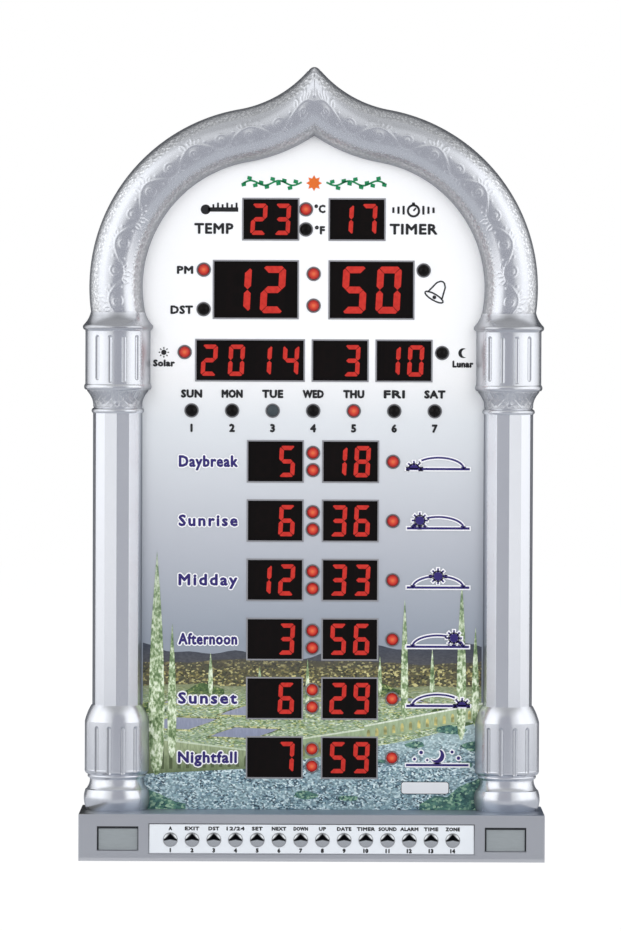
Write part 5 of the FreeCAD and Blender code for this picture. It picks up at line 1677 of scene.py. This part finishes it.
def build_camera(clock):
    """Camera a little above the middle of the clock, far away with a long lens."""
    lens = bpy.data.cameras.new("camera")
    lens.lens = clock.camera_lens
    lens.sensor_width = 36.0
    lens.clip_start, lens.clip_end = 0.1, 50.0
    camera = linked("camera", lens)
    camera.location = (clock.aim_x, FACE_Y - clock.camera_distance, clock.camera_height)
    look = (Vector((clock.aim_x, FACE_Y, clock.aim_height)) - camera.location).to_track_quat("-Z", "Y")
    camera.rotation_mode = "QUATERNION"
    camera.rotation_quaternion = look @ Quaternion((0, 0, 1), clock.camera_roll)
    bpy.context.scene.camera = camera
    bpy.context.scene.view_settings.view_transform = "Standard"


# ---- Operators ---------------------------------------------------------------
class ClockStep:
    """What the operators share: each runs its builders, first those that take the settings."""

    styled = fixed = ()

    def execute(self, context):
        for build in self.styled:
            build(context.scene.clock)
        for build in self.fixed:
            build()
        return {"FINISHED"}


class CLOCK_OT_nodes(ClockStep, bpy.types.Operator):
    """Gives every solid of the frame its finish"""

    bl_idname = "clock.nodes"
    bl_label = "Finishes of the solids"
    styled = (paint_nodes,)


class CLOCK_OT_arch(ClockStep, bpy.types.Operator):
    """Builds the ogee arch with its vine relief, borders and beads"""

    bl_idname = "clock.arch"
    bl_label = "Arch moulding"
    styled = (build_arch,)


class CLOCK_OT_capitals(ClockStep, bpy.types.Operator):
    """Builds the carved leaf bands of the capitals"""

    bl_idname = "clock.capitals"
    bl_label = "Capital leaves"
    styled = (build_capitals,)


class CLOCK_OT_borders(ClockStep, bpy.types.Operator):
    """Prints the borders of the displays and the rings of the lamps"""

    bl_idname = "clock.borders"
    bl_label = "Display borders"
    styled = (build_borders,)


class CLOCK_OT_names(ClockStep, bpy.types.Operator):
    """Prints the names of the rows and their day-arc signs"""

    bl_idname = "clock.names"
    bl_label = "Row names"
    styled = (build_row_names, build_row_signs)


class CLOCK_OT_labels(ClockStep, bpy.types.Operator):
    """Prints the small labels and signs of the upper face"""

    bl_idname = "clock.labels"
    bl_label = "Face labels"
    styled = (build_labels, build_signs, build_ornament)


class CLOCK_OT_landscape(ClockStep, bpy.types.Operator):
    """Prints the evening garden on the lower face"""

    bl_idname = "clock.landscape"
    bl_label = "Printed landscape"
    styled = (build_landscape, build_name_plate)


class CLOCK_OT_keys(ClockStep, bpy.types.Operator):
    """Prints the labels and collars of the setting buttons, and paints shadow lines around their strip and
    in the sunk plates' recesses
    """

    bl_idname = "clock.keys"
    bl_label = "Button labels"
    fixed = (build_key_labels, build_button_rings, build_strip_edge, build_badge_gaskets)


class CLOCK_OT_stage(ClockStep, bpy.types.Operator):
    """Sets up the floor, the surroundings, the lamps and the camera"""

    bl_idname = "clock.stage"
    bl_label = "Studio"
    styled = (build_camera,)
    fixed = (build_floor, build_cards, build_world, build_lamps)


class CLOCK_PT_panel(bpy.types.Panel):
    """Lists the steps that dress the clock, and their settings"""

    bl_idname = "CLOCK_PT_panel"
    bl_label = "Prayer clock"
    bl_space_type = "VIEW_3D"
    bl_region_type = "UI"
    bl_category = "Clock"

    def draw(self, context):
        for step in STEPS:
            self.layout.operator(step.bl_idname)
        box = self.layout.box()
        for name in ClockSettings.__annotations__:
            box.prop(context.scene.clock, name)


STEPS = (CLOCK_OT_nodes, CLOCK_OT_arch, CLOCK_OT_capitals, CLOCK_OT_borders, CLOCK_OT_names,
         CLOCK_OT_labels, CLOCK_OT_landscape, CLOCK_OT_keys, CLOCK_OT_stage)
CLASSES = (ClockSettings, *STEPS, CLOCK_PT_panel)


def register():
    for kind in CLASSES:
        bpy.utils.register_class(kind)
    bpy.types.Scene.clock = PointerProperty(type=ClockSettings)


def unregister():
    del bpy.types.Scene.clock
    for kind in reversed(CLASSES):
        bpy.utils.unregister_class(kind)


def main():
    register()
    for step in STEPS:
        group, name = step.bl_idname.split(".")
        getattr(getattr(bpy.ops, group), name)()


if __name__ == "__main__":
    main()
